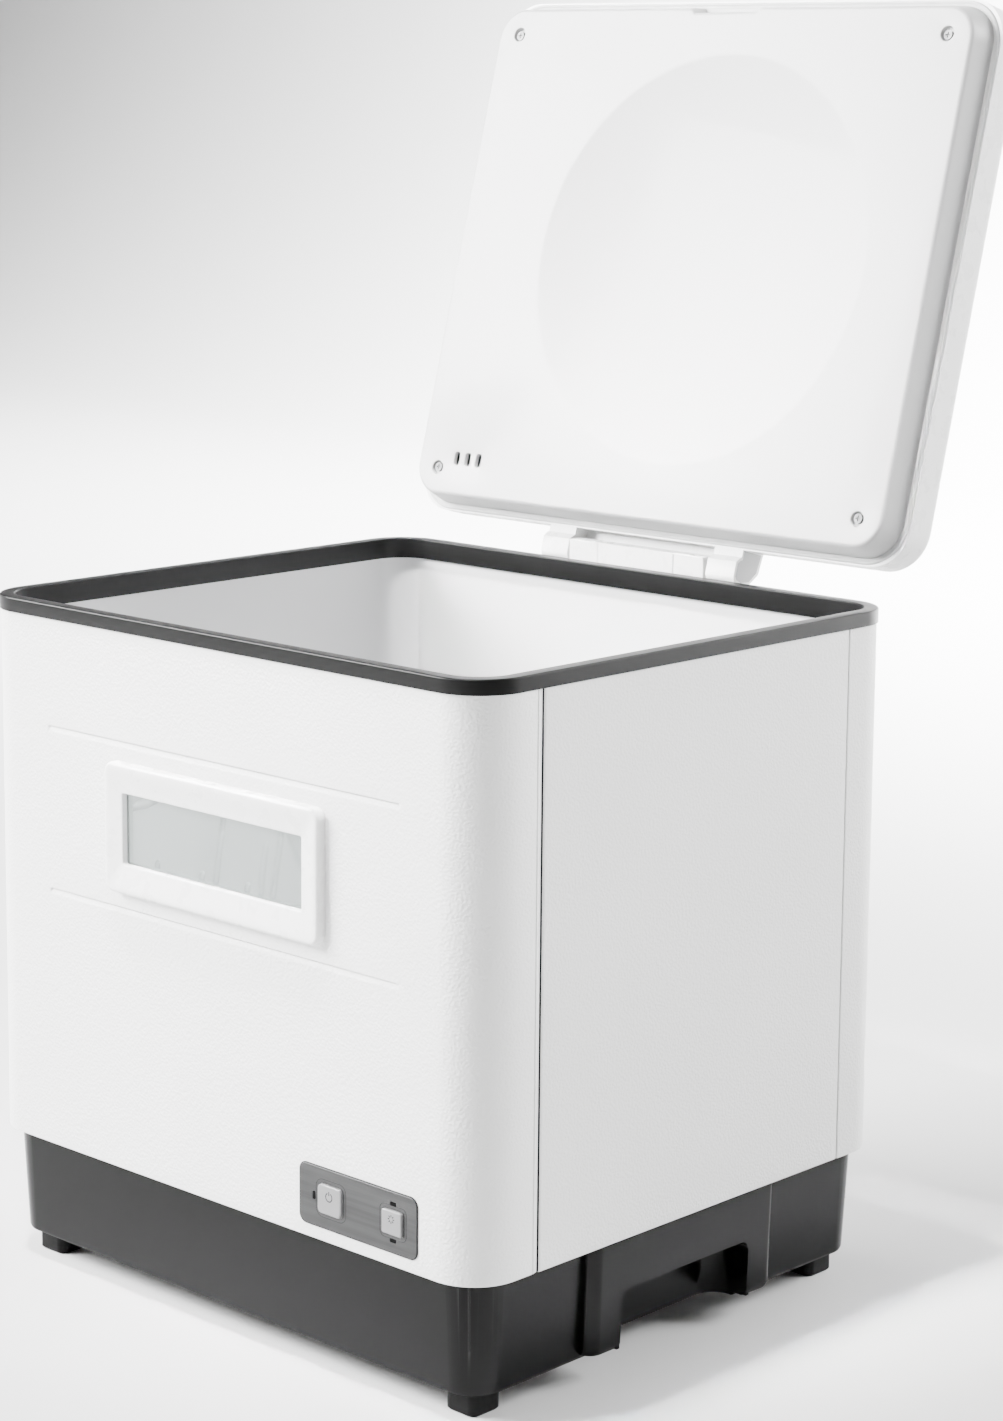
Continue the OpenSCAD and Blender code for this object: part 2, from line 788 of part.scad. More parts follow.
module rear_shell() color("#ececea") in_place()
    difference() {
        union() {
            skin_ring(skin_z, skin_top);
            intersection() {
                skin_ring(skin_z - skirt_drop, skin_z + 1);
                translate([-skirt_w / 2, 0, 0])
                    cube([skirt_w, body_d, skin_top]);
            }
        }
        translate([-body_w, -body_d + half_d - seam_rear + seam_gap / 2, 0])
            cube([2 * body_w, body_d, 2 * skin_top]);
        rear_screw_holes();
        for (x = [-1, 1])
            for (z = [0.25, 0.75])
                rod_y(screw_r + fit_gap, x * pad_screw_x, rear_y - 1, half_d + 1, pad_low + z * pad_h);
        rod_y(drain_spigot_r + fit_gap, rear_x, rear_y - 1, half_d + 1, drain_out_z);
        rod_y(8 + fit_gap, gland_x, rear_y - 1, half_d + 1, gland_z);
        for (i = [-6 : 6])
            face(3.4, 24, 1.6, 9 * i, gland_z + 2, rear_y - 1, half_d + 1);
    }

module pan_screw(x, z, length) {
    rod_y(screw_r, x, half_d - length, half_d + 0.1, z);
    difference() {
        rod_y(3.4, x, half_d + 0.1, half_d + 2.1, z);
        for (a = [0, 90])
            translate([x, half_d + 1.6, z])
                rotate([0, a, 0])
                    cube([4, 1.2, 0.9], center = true);
    }
}

module rear_screws() color("#8c8c8c") in_place() {
    for (x = rear_screw_x)
        pan_screw(x, rear_screw_z, sheet + fit_gap + base_wall);
    for (x = [-1, 1])
        for (z = [0.25, 0.75])
            translate([0, pad_t + 0.1, 0])
                pan_screw(x * pad_screw_x, pad_low + z * pad_h, pad_t + sheet);
}

// ---------------------------------------------------------------- rim and tub

module tub_rim() color("#262626") in_place() {
    leg_z = rim_z - rim_leg;
    leg_out = rim_in - rim_wall;
    difference() {
        union() {
            translate([0, 0, skin_top])
                soft_block(half_w + rim_proud, half_d + rim_proud, rim_h, body_r + rim_proud, rim_edge);
            block(half_w - leg_out, half_d - leg_out, body_r - leg_out, leg_z, skin_top + 1);
        }
        block(half_w - rim_in, half_d - rim_in, body_r - rim_in, leg_z - 1, rim_z + 1);
        difference() {
            block(half_w - sheet - fit_gap, half_d - sheet - fit_gap, body_r - sheet - fit_gap,
                leg_z - 1, rim_z - rim_top);
            block(half_w - leg_out, half_d - leg_out, body_r - leg_out, leg_z - 2, rim_z);
        }
    }
}

module tub_form(inset, z, t) {
    h = rim_z - z;
    difference() {
        translate([0, 0, z + h])
            mirror([0, 0, 1])
                soft_block(half_w - inset, half_d - inset, h, body_r - inset, t);
        translate([-body_w, -body_d, tub_top + (z == tub_z ? 0 : 50)])
            cube([2 * body_w, 2 * body_d, 100]);
    }
}

module tub() color("#e4e5e6") in_place()
    difference() {
        tub_form(tub_out, tub_z, tub_fillet + tub_wall);
        tub_form(tub_in, floor_z, tub_fillet);
        face(hole_w + 2 * fit_gap, hole_h + 2 * fit_gap, frame_r - 2, window_x, window_z,
            front_y + tub_out - 1, front_y + tub_in + 1);
        rod_z(filter_r + 1.5, filter_x, filter_y, tub_z - 1, floor_z + 1);
        rod_z(spigot_r + 2 + fit_gap, 0, 0, tub_z - 1, floor_z + 1);
    }

// ---------------------------------------------------------------- window

module window_frame() color("#f4f4f2") in_place()
    difference() {
        union() {
            hull() {
                face(frame_w - 2 * frame_slope, frame_h - 2 * frame_slope, frame_r - 3,
                    window_x, window_z, front_y - frame_out, front_y - frame_out + eps, $fn = 48);
                face(frame_w - 0.6 * frame_slope, frame_h - 0.6 * frame_slope, frame_r - 0.3 * frame_slope,
                    window_x, window_z, front_y - 0.7 * frame_out, front_y - 0.7 * frame_out + eps, $fn = 48);
                face(frame_w, frame_h, frame_r, window_x, window_z, front_y - 1.2, front_y, $fn = 48);
            }
            face(hole_w, hole_h, frame_r - 2, window_x, window_z, front_y - eps, glass_y + glass_t);
        }
        face(window_w, window_h, 0.8, window_x, window_z, front_y - frame_out - 1, front_y + 10);
        face(glass_w + 2 * fit_gap, glass_h + 2 * fit_gap, 1.5, window_x, window_z,
            glass_y - fit_gap, front_y + 10);
    }

module window_glass() color("#3c4a50") in_place()
    face(glass_w, glass_h, 1.2, window_x, window_z, glass_y, glass_y + glass_t);

module window_seal() color("#9a9a9a") in_place()
    difference() {
        face(hole_w, hole_h, frame_r - 2, window_x, window_z, glass_y + glass_t, front_y + tub_in);
        face(window_w, window_h, 0.8, window_x, window_z, glass_y, front_y + tub_in + 1);
    }

// ---------------------------------------------------------------- controls

module control_plate() color("#a9abad") in_place()
    difference() {
        face(plate_w, plate_h, plate_r, plate_x, plate_z, front_y - plate_t, front_y);
        button_hole(power_w, power_h, power_r, power_x, button_gap, front_y - 2, front_y + 1);
        button_hole(start_w, start_h, start_r, start_x, button_gap, front_y - 2, front_y + 1);
        lamp_cut(0.15, front_y - 2, front_y + 1);
    }

module button(w, h, r, x) color("#d0d2d4") in_place() {
    face(w - 1.2, h - 1.2, max(r - 0.6, 0.4), x, plate_z, button_y, button_y + 0.5);
    face(w, h, r, x, plate_z, button_y + 0.5 - eps, flange_y + eps);
    face(w + 2 * flange_lap, h + 2 * flange_lap, r, x, plate_z, flange_y, flange_y + flange_t);
    rod_y(3, x, flange_y, stem_y, plate_z);
}

module power_button() button(power_w, power_h, power_r, power_x);
module start_button() button(start_w, start_h, start_r, start_x);

module indicator_lenses() color("#20302a") in_place() {
    lamp_cut(0, front_y - plate_t - 0.1, board_y - 0.3);
}

module control_tray() color("#3a3a3a") in_place() {
    a = plate_w / 2 + 3;
    mid = (tray_top + tray_bottom) / 2;
    high = tray_top - tray_bottom;
    difference() {
        face(2 * a, high, 3, plate_x, mid, flange_y, tray_back);
        face(2 * a - 2 * tray_wall, high - 2 * tray_wall, 2, plate_x, mid, flange_y - 1, tray_back - tray_wall);
    }
    for (s = [-1, 1])
        rod_y(2.5, plate_x + s * (a - 6), board_y + board_t, tray_back - 1, mid);
}

module control_board() color("#2f6b3f") in_place() {
    a = plate_w / 2;
    mid = (tray_top + tray_bottom) / 2;
    high = tray_top - tray_bottom - 2 * tray_wall - 2 * fit_gap;
    face(2 * a, high, 1, plate_x, mid, board_y, board_y + board_t);
    for (x = [power_x, start_x]) {
        face(10, 10, 1, x, plate_z, switch_y, board_y + eps);
        rod_y(1.8, x, plunger_y, switch_y + eps, plate_z);
    }
    face(20, 8, 0.5, plate_x + 5, plate_z, board_y - 3, board_y + eps);
}

// ---------------------------------------------------------------- lid

module ear_profile() {
    translate([hinge_y, hinge_z])
        circle(knuckle_r);
    polygon([[lid_half_d - lid_wall, lid_z], [hinge_y - swing_r * 0.94, lid_z],
        [hinge_y - swing_r * 0.84, hinge_z - swing_r * 0.53],
        [hinge_y - swing_r * 0.58, hinge_z - knuckle_r], [hinge_y + knuckle_r * 0.5, hinge_z - knuckle_r],
        [hinge_y + knuckle_r * 0.86, hinge_z - knuckle_r * 0.8], [hinge_y + knuckle_r * 1.05, hinge_z],
        [hinge_y + knuckle_r * 0.8, hinge_z + knuckle_r * 1.1],
        [hinge_y - 1, bar_z + bar_h + 1.5], [lid_half_d - 3, bar_z + bar_h + 3.5],
        [lid_half_d - 3, lid_z]]);
}

module lid_shell() color("#f4f4f3") in_place() opened() {
    difference() {
        union() {
            translate([0, 0, lid_z])
                soft_block(lid_half_w, lid_half_d, lid_h, lid_r, lid_edge);
            for (s = [-1, 1])
                translate([s > 0 ? ear_x : -ear_x - ear_w, 0, 0])
                    rotate([90, 0, 90])
                        linear_extrude(ear_w)
                            ear_profile();
            translate([-ear_x - 1, lid_half_d - lid_edge - 2, bar_z])
                cube([2 * ear_x + 2, bar_d + lid_edge + 2, bar_h]);
        }
        translate([0, 0, lid_z - 1])
            soft_block(lid_half_w - lid_wall, lid_half_d - lid_wall, lid_h + 1 - lid_wall,
                lid_r - lid_wall, lid_edge - lid_wall);
        rod_x(pin_r + run_gap, -ear_x - ear_w - 1, pin_end, hinge_y, hinge_z);
    }
    for (x = [-1, 1])
        for (y = [-1, 1])
            difference() {
                rod_z(5, x * screw_x, y * screw_y, panel_z + recess_deep + liner_wall + fit_gap,
                    lid_top - lid_wall + eps);
                rod_z(screw_r + fit_gap, x * screw_x, y * screw_y, panel_z, lid_z + 6);
            }
}

module lean_form(w, d, lean, r, z0, z1)
    hull() {
        block(w, d, r - lean / 2, z0, z0 + eps, $fn = 72);
        block(w + lean, d + lean, r, z1 - eps, z1, $fn = 72);
    }

module lid_liner() color("#f6f6f6") in_place() opened() {
    shoulder = panel_z + liner_wall;
    difference() {
        union() {
            lean_form(panel_w, panel_d, liner_lean, liner_r, panel_z, lid_z);
            block(root_w, root_d, liner_r, lid_z - eps, lid_z + liner_root);
        }
        difference() {
            union() {
                lean_form(panel_w - liner_wall, panel_d - liner_wall, liner_lean, liner_r - liner_wall,
                    shoulder, lid_z + eps);
                block(root_w - liner_wall, root_d - liner_wall, liner_r - liner_wall,
                    lid_z, lid_z + liner_root + 1);
            }
            for (x = [-1, 1])
                for (y = [-1, 1])
                    rod_z(recess_r + 1.6, x * screw_x, y * screw_y, panel_z,
                        panel_z + recess_deep + liner_wall);
            translate([-notch_w / 2 - liner_wall, -panel_d - liner_lean, panel_z])
                cube([notch_w + 2 * liner_wall, notch_d + liner_lean + liner_wall, liner_depth]);
        }
        for (x = [-1, 1])
            for (y = [-1, 1]) {
                rod_z(recess_r, x * screw_x, y * screw_y, panel_z - 1, panel_z + recess_deep);
                rod_z(screw_r + fit_gap, x * screw_x, y * screw_y, panel_z, lid_z);
            }
        for (i = [-1 : 1])
            translate([vent_x + i * vent_pitch, panel_d - vent_s, panel_z - 1])
                linear_extrude(liner_wall + 2)
                    outline(vent_w / 2, vent_l / 2, 1.2);
        translate([-notch_w / 2, -panel_d - liner_lean - 1, panel_z - 1])
            cube([notch_w, notch_d + liner_lean + 1, liner_depth]);
        rod_z(dish_r, dish_x, dish_y, panel_z - 1, shoulder + 0.6);
    }
    intersection() {
        difference() {
            translate([dish_x, dish_y, panel_z + dish_depth - dish_ball])
                sphere(dish_ball + liner_wall, $fn = 96);
            translate([dish_x, dish_y, panel_z + dish_depth - dish_ball])
                sphere(dish_ball, $fn = 96);
        }
        rod_z(dish_r + 0.5, dish_x, dish_y, panel_z, lid_z + liner_root);
    }
}

module lid_seal() color("#b9bbbc") in_place() opened() {
    difference() {
        union() {
            block(seal_in_w + seal_lip, seal_in_d + seal_lip, lid_r - 1, lid_z - seal_out, lid_z);
            block(lid_half_w - lid_wall - 0.2, lid_half_d - lid_wall - 0.2, lid_r - lid_wall - 0.2,
                lid_z - eps, lid_z + liner_root - 2);
        }
        block(seal_in_w, seal_in_d, liner_r + 0.2, lid_z - 3, lid_z + liner_root);
    }
}

module lid_screws() color("#a5a7a9") in_place() opened()
    for (x = [-1, 1])
        for (y = [-1, 1]) {
            difference() {
                rod_z(head_r, x * screw_x, y * screw_y, panel_z + 0.9, panel_z + recess_deep);
                for (a = [0, 90])
                    translate([x * screw_x, y * screw_y, panel_z + 1.3])
                        rotate([0, 0, a])
                            cube([3.6, 0.8, 1], center = true);
            }
            rod_z(screw_r, x * screw_x, y * screw_y, panel_z + recess_deep - eps, lid_z + 5);
        }

// ---------------------------------------------------------------- hinge

// outline of the fixed knuckles, seen from the side
module knuckle_profile() {
    translate([hinge_y, hinge_z])
        circle(knuckle_r);
    translate([half_d + rim_proud + fit_gap, hinge_z - knuckle_r])
        square([hinge_back - rim_proud - fit_gap, 2 * knuckle_r]);
}

module knuckle(x0, x1)
    difference() {
        translate([x0, 0, 0])
            rotate([90, 0, 90])
                linear_extrude(x1 - x0)
                    knuckle_profile();
        rod_x(pin_r + run_gap, x0 - 1, x1 + 1, hinge_y, hinge_z);
    }

module hinge_bracket() color("#efefed") in_place() {
    half = mid_w / 2 - fit_gap;
    knuckle(-half, half);
    difference() {
        translate([-half, 0, 0])
            rotate([90, 0, 90])
                linear_extrude(2 * half)
                    polygon([[half_d, pad_low], [half_d + pad_t, pad_low],
                        [half_d + pad_t + 1, pad_low + pad_h], [hinge_y - 1, hinge_z - knuckle_r + 1],
                        [half_d + rim_proud + fit_gap, hinge_z - knuckle_r + 1],
                        [half_d + rim_proud + fit_gap, pad_low + pad_h],
                        [half_d, pad_low + pad_h]]);
        for (x = [-1, 1])
            for (z = [0.25, 0.75]) {
                rod_y(screw_r + fit_gap, x * pad_screw_x, half_d - 1, half_d + 12, pad_low + z * pad_h);
                rod_y(4, x * pad_screw_x, half_d + pad_t, half_d + 12, pad_low + z * pad_h);
            }
    }
}

module hinge_block(s) color("#efefed") in_place() {
    near = mid_w / 2 + fit_gap;
    far = block_w / 2;
    knuckle(s > 0 ? near : -far, s > 0 ? far : -near);
    translate([s > 0 ? near : -far, 0, 0])
        rotate([90, 0, 90])
            linear_extrude(far - near)
                polygon([[half_d + 0.1, rim_z - rim_h - 10], [half_d + pad_t, rim_z - rim_h - 10],
                    [hinge_y - 1, hinge_z - knuckle_r + 1],
                    [half_d + rim_proud + fit_gap, hinge_z - knuckle_r + 1],
                    [half_d + rim_proud + fit_gap, rim_z - rim_h - 1],
                    [half_d + 0.1, rim_z - rim_h - 1]]);
}

module hinge_block_left() hinge_block(-1);
module hinge_block_right() hinge_block(1);

module hinge_pin() color("#9ea0a2") in_place()
    rod_x(pin_r, -ear_x - ear_w + 0.5, pin_end - fit_gap, hinge_y, hinge_z);

// ---------------------------------------------------------------- wash parts

// hose or spigot wall between two radii, along X, Y or Z
module pipe_x(r, wall, x0, x1, y, z)
    difference() {
        rod_x(r, x0, x1, y, z);
        rod_x(r - wall, x0 - 1, x1 + 1, y, z);
    }
module pipe_y(r, wall, x, y0, y1, z)
    difference() {
        rod_y(r, x, y0, y1, z);
        rod_y(r - wall, x, y0 - 1, y1 + 1, z);
    }

module sump() color("#5a5d60") in_place()
    difference() {
        union() {
            rod_z(sump_r, filter_x, filter_y, sump_z, tub_z - fit_gap);
            rod_z(sump_r + 3, filter_x, filter_y, tub_z - fit_gap - 3, tub_z - fit_gap);
            rod_x(spigot_r, suction_x, filter_x, filter_y, pump_z);
            rod_y(drain_spigot_r, drain_x, filter_y, drain_in_y, drain_z);
        }
        rod_z(sump_r - pump_wall, filter_x, filter_y, sump_z + pump_wall, tub_z);
        rod_x(spigot_r - spigot_wall, suction_x - 1, filter_x, filter_y, pump_z);
        rod_y(drain_spigot_r - spigot_wall, drain_x, filter_y, drain_in_y + 1, drain_z);
    }

module filter_basket() color("#c9cbcd") in_place() {
    low = floor_z - filter_h;
    difference() {
        union() {
            rod_z(filter_r, filter_x, filter_y, low, floor_z + 1);
            rod_z(filter_r + 5, filter_x, filter_y, floor_z + fit_gap, floor_z + fit_gap + 1.6);
        }
        rod_z(filter_r - filter_wall, filter_x, filter_y, low + filter_wall, floor_z + 3);
        for (a = [0 : 30 : 330])
            for (z = [0.3, 0.7])
                translate([filter_x, filter_y, low + z * (filter_h - 6)])
                    rotate([0, 0, a])
                        translate([filter_r - 4, -1.2, -0.14 * filter_h])
                            cube([8, 2.4, 0.28 * filter_h]);
    }
}

module spray_post() color("#b7babd") in_place() {
    side = outlet_x - feed_bend;
    difference() {
        union() {
            rod_z(spigot_r + 2, 0, 0, outlet_z - 11, arm_z - fit_gap);
            rod_z(spigot_r + 6, 0, 0, tub_z - fit_gap - 3, tub_z - fit_gap);
            rod_z(spindle_r, 0, 0, arm_z - 1, arm_z + arm_h + 4);
            rod_x(spigot_r, 0, side - 0.5, 0, outlet_z);
        }
        rod_z(spigot_r - 1, 0, 0, outlet_z - 9, arm_z - 3);
        rod_z(spindle_r - 2.5, 0, 0, arm_z - 4, arm_z + arm_h - 1);
        rod_x(spigot_r - spigot_wall, 0, side, 0, outlet_z);
    }
}

module spray_arm() color("#c4c7ca") in_place()
    difference() {
        union() {
            translate([0, 0, arm_z])
                linear_extrude(arm_h)
                    for (s = [-1, 1]) {
                        polygon([[0, -arm_w / 2], [s * (arm_r - tip_w / 2), -tip_w / 2],
                            [s * (arm_r - tip_w / 2), tip_w / 2], [0, arm_w / 2]]);
                        translate([s * (arm_r - tip_w / 2), 0])
                            circle(tip_w / 2);
                    }
            rod_z(arm_w / 2 + 4, 0, 0, arm_z, arm_z + arm_h + 2);
        }
        rod_z(spindle_r + run_gap, 0, 0, arm_z - 1, arm_z + arm_h + 3);
        for (s = [-1, 1])
            for (i = [1 : 5])
                rod_z(1.3, s * (20 + i * nozzle_pitch), s * (i % 2 == 0 ? 3 : -3),
                    arm_z + arm_h - 2.5, arm_z + arm_h + 1);
    }

module spray_nut() color("#8f9295") in_place()
    difference() {
        rod_z(spindle_r + 5, 0, 0, arm_z + arm_h + 2 + fit_gap, arm_z + arm_h + 9);
        rod_z(spindle_r, 0, 0, arm_z, arm_z + arm_h + 4);
        for (a = [0 : 60 : 300])
            rotate([0, 0, a])
                rod_z(2, spindle_r + 6, 0, arm_z, arm_z + arm_h + 10);
    }

module pump_housing() color("#4c4f52") in_place()
    difference() {
        union() {
            rod_x(volute_r, volute_x - volute_l, volute_x, pump_y, pump_z);
            rod_x(spigot_r, volute_x - 2, inlet_x, pump_y, pump_z);
            rod_y(spigot_r, outlet_x, pump_y, outlet_y, outlet_z);
        }
        rod_x(volute_r - pump_wall, volute_x - volute_l + pump_wall, volute_x - pump_wall, pump_y, pump_z);
        rod_x(spigot_r - spigot_wall, volute_x - pump_wall - 1, inlet_x + 1, pump_y, pump_z);
        rod_y(spigot_r - spigot_wall, outlet_x, pump_y, outlet_y + 1, outlet_z);
        rod_x(shaft_r + 1, volute_x - volute_l - 1, volute_x - volute_l + 4, pump_y, pump_z);
    }

module pump_motor() color("#6b6e72") in_place() {
    front = volute_x - volute_l - fit_gap;
    difference() {
        union() {
            rod_x(motor_r, front - motor_l, front - 4, pump_y, pump_z);
            rod_x(motor_r - 5, front - 5, front, pump_y, pump_z);
        }
        rod_x(shaft_r + run_gap, front - motor_l + 6, front + 1, pump_y, pump_z);
        for (a = [0 : 30 : 330])
            translate([front - motor_l / 2 - 16, pump_y, pump_z])
                rotate([a, 0, 0])
                    translate([0, motor_r - 1.5, -1.5])
                        cube([32, 4, 3]);
    }
}

module pump_rotor() color("#d8dadc") in_place() {
    disc = volute_x - volute_l + pump_wall + 3;
    rod_x(rotor_r, disc, disc + 2.5, pump_y, pump_z);
    rod_x(7, disc, disc + 14, pump_y, pump_z);
    rod_x(shaft_r, disc - pump_wall - 3 - motor_l + 8, disc + 1, pump_y, pump_z);
    for (a = [0 : 60 : 300])
        translate([disc, pump_y, pump_z])
            rotate([a, 0, 0])
                translate([0, 5, -1])
                    cube([12, rotor_r - 6, 2]);
}

module pump_mount() color("#1f1f1f") in_place() {
    x1 = volute_x - volute_l - fit_gap - 8;
    x0 = x1 - motor_l + 16;
    difference() {
        translate([x0, 0, 0])
            rotate([90, 0, 90])
                linear_extrude(x1 - x0)
                    polygon([[pump_y - 28, pan_z], [pump_y + 28, pan_z], [pump_y + 28, pan_z + 6],
                        [pump_y + 18, pump_z - 14], [pump_y - 18, pump_z - 14], [pump_y - 28, pan_z + 6]]);
        rod_x(motor_r + fit_gap, x0 - 1, x1 + 1, pump_y, pump_z);
        translate([x0 + 7, pump_y - 40, pan_z + 6])
            cube([x1 - x0 - 14, 80, pump_z]);
    }
}

module heater() color("#b0b3b6") in_place() {
    difference() {
        union() {
            rod_y(heater_r, outlet_x, heater_y, heater_y + heater_l, outlet_z);
            rod_y(spigot_r, outlet_x, heater_y - 8, feed_y - 1, outlet_z);
        }
        rod_y(spigot_r - spigot_wall, outlet_x, heater_y - 9, feed_y, outlet_z);
    }
    difference() {
        translate([outlet_x - 7, heater_y + heater_l / 2 - strap_l / 2, outlet_z])
            cube([14, strap_l, tub_z - fit_gap - outlet_z]);
        rod_y(heater_r - 1, outlet_x, heater_y, heater_y + heater_l, outlet_z);
    }
}

module thermostat() color("#d9d2b8") in_place() {
    rod_z(12, thermo_x, thermo_y, tub_z - fit_gap - 2, tub_z - fit_gap);
    rod_z(8, thermo_x, thermo_y, tub_z - fit_gap - 10, tub_z - fit_gap - 1);
}

module suction_hose() color("#202022") in_place()
    pipe_x(spigot_r + 0.2 + hose_wall, hose_wall, inlet_x - suction_grip, suction_x + suction_grip,
        pump_y, pump_z);

module pump_hose() color("#202022") in_place()
    pipe_y(spigot_r + 0.2 + hose_wall, hose_wall, outlet_x, outlet_y - 8, heater_y - 0.5, outlet_z);

// the heater's end is one bend before the spray post's spigot
module feed_hose() color("#202022") in_place() {
    r = spigot_r + 0.2 + hose_wall;
    side = outlet_x - feed_bend;
    difference() {
        union() {
            translate([side, feed_y, outlet_z])
                quarter(feed_bend, r);
            rod_y(r, outlet_x, heater_y + heater_l + 0.5, feed_y, outlet_z);
            rod_x(r, spigot_r + 3, side, 0, outlet_z);
        }
        translate([side, feed_y, outlet_z])
            quarter(feed_bend, r - hose_wall);
        rod_y(r - hose_wall, outlet_x, heater_y + heater_l - 1, feed_y, outlet_z);
        rod_x(r - hose_wall, spigot_r + 2, side, 0, outlet_z);
    }
}

// ---------------------------------------------------------------- drain

module drain_pump() color("#505356") in_place()
    difference() {
        union() {
            rod_y(drain_spigot_r, drain_x, drain_in_y + 6, drain_y + 2, drain_z);
            rod_y(drain_r, drain_x, drain_y, drain_y + drain_l, drain_z);
            rod_y(drain_r - 6, drain_x, drain_y + drain_l - 1, drain_y + drain_l + 38, drain_z);
            rod_x(drain_spigot_r, drain_x, drain_out_x, drain_y + drain_l / 2, drain_out_z);
            translate([drain_x - 9, drain_y + 2, pan_z])
                cube([18, drain_l - 4, drain_z - pan_z]);
            translate([drain_x - 16, drain_y, pan_z])
                cube([32, drain_l, 3]);
        }
        rod_y(drain_r - pump_wall, drain_x, drain_y + pump_wall, drain_y + drain_l - pump_wall, drain_z);
        rod_y(drain_spigot_r - spigot_wall, drain_x, drain_in_y + 5, drain_y + pump_wall + 1, drain_z);
        rod_x(drain_spigot_r - spigot_wall, drain_x + 6, drain_out_x + 1, drain_y + drain_l / 2, drain_out_z);
    }

module drain_inlet_hose() color("#202022") in_place()
    pipe_y(drain_spigot_r + 0.2 + hose_wall, hose_wall, drain_x, drain_in_y - 3.5, drain_y - 0.5, drain_z);

module drain_hose() color("#202022") in_place() {
    r = drain_spigot_r + 0.2 + hose_wall;
    y0 = drain_y + drain_l / 2;
    difference() {
        union() {
            rod_x(r, drain_out_x - 7, drain_out_x, y0, drain_out_z);
            translate([drain_out_x, y0 + drain_bend, drain_out_z])
                rotate([0, 0, -90])
                    quarter(drain_bend, r);
            rod_y(r, rear_x, y0 + drain_bend, rear_y - 12, drain_out_z);
        }
        rod_x(r - hose_wall, drain_out_x - 8, drain_out_x, y0, drain_out_z);
        translate([drain_out_x, y0 + drain_bend, drain_out_z])
            rotate([0, 0, -90])
                quarter(drain_bend, r - hose_wall);
        rod_y(r - hose_wall, rear_x, y0 + drain_bend, rear_y, drain_out_z);
    }
}

module drain_outlet() color("#2b2b2d") in_place()
    difference() {
        union() {
            rod_y(drain_spigot_r, rear_x, rear_y - 26, half_d + outlet_l, drain_out_z);
            rod_y(drain_spigot_r + 2.5, rear_x, rear_y - 3, rear_y - fit_gap, drain_out_z);
            rod_y(drain_spigot_r + 3.5, rear_x, half_d + 0.1, half_d + 3, drain_out_z);
        }
        rod_y(drain_spigot_r - spigot_wall, rear_x, rear_y - 27, half_d + outlet_l + 1, drain_out_z);
    }

// ---------------------------------------------------------------- electrics

module power_board() color("#2f6b3f") in_place() {
    z = pan_z + 7;
    difference() {
        translate([board_x, board_yy, z])
            linear_extrude(1.6)
                outline(board_a + 7, board_b + 7, 3);
        for (x = [-1, 1])
            for (y = [-1, 1])
                rod_z(1.6, board_x + x * board_a, board_yy + y * board_b, z - 1, z + 3);
    }
    translate([board_x - 40, board_yy - 26, z + 1.5])
        cube([34, 28, 24]);
    for (i = [0 : 2])
        translate([board_x + 4 + 15 * i, board_yy + 4, z + 1.5])
            cube([12, 18, 16]);
    rod_z(8, board_x - 20, board_yy + 22, z + 1.5, z + 26);
    for (i = [0 : 3])
        translate([board_x + 2 + 12 * i, board_yy - 36, z + 1.5])
            cube([9, 8, 9]);
}

module cord_gland() color("#1c1c1c") in_place()
    difference() {
        union() {
            rod_y(8, gland_x, rear_y - 12, half_d + 8, gland_z);
            rod_y(10.5, gland_x, rear_y - 4, rear_y - fit_gap, gland_z);
            rod_y(11.5, gland_x, half_d + 0.1, half_d + 3, gland_z);
        }
        rod_y(4, gland_x, rear_y - 6, half_d + 9, gland_z);
    }

// ---------------------------------------------------------------- rack

module rack_base() color("#d5d7d9") in_place() {
    translate([0, 0, rack_z])
        wire_loop(rack_w, rack_d, rack_r, wire_r);
    for (i = [-3 : 3])
        rod_y(thin_r, i * (rack_w - rack_r) / 3, -rack_d, rack_d, grid_z);
    for (y = [-1, 1])
        rod_x(wire_r, -rack_w, rack_w, y * (rack_d - 12), rack_z);
}

// four moulded feet under the floor's frame, clear of the spray arm
module rack_feet() color("#c4c7ca") in_place()
    for (x = [-1, 1])
        for (y = [-1, 1])
            translate([x * (rack_w - 12), y * (rack_d - 12), floor_z + fit_gap]) {
                cylinder(r1 = 2 * wire_r, r2 = wire_r, h = rack_up - wire_r - 2 * fit_gap);
                cylinder(r = 2.6 * wire_r, h = wire_r);
            }

// the rail runs above the outer side of the floor's frame
module rack_rail() color("#d5d7d9") in_place()
    translate([0, 0, rail_z])
        wire_loop(rack_w + wire_r + thin_r, rack_d + wire_r + thin_r, rack_r, wire_r);

// the uprights lean on the outer side of the floor's frame and carry the rail
module rack_uprights() color("#d5d7d9") in_place()
    for (s = [-1, 1]) {
        for (i = [-2 : 2])
            rod_z(thin_r, i * (rack_w - rack_r) / 2, s * (rack_d + wire_r + thin_r),
                rack_z - 2, rail_z - wire_r - run_gap);
        for (i = [-1 : 1])
            rod_z(thin_r, s * (rack_w + wire_r + thin_r), i * (rack_d - rack_r),
                rack_z - 2, rail_z - wire_r - run_gap);
    }

module rack_row(i) color("#d5d7d9") in_place() {
    y = (i - 3.5) * row_pitch;
    rod_x(thin_r, -(rack_w - 3), rack_w - 3, y, row_z);
    for (k = [0 : tine_count - 1])
        translate([(k - (tine_count - 1) / 2) * tine_pitch, y, row_z]) {
            cylinder(r = thin_r, h = tine_h);
            translate([0, 0, tine_h])
                sphere(thin_r);
        }
}

module rack_row_1() rack_row(1);
module rack_row_2() rack_row(2);
module rack_row_3() rack_row(3);
module rack_row_4() rack_row(4);
module rack_row_5() rack_row(5);
module rack_row_6() rack_row(6);

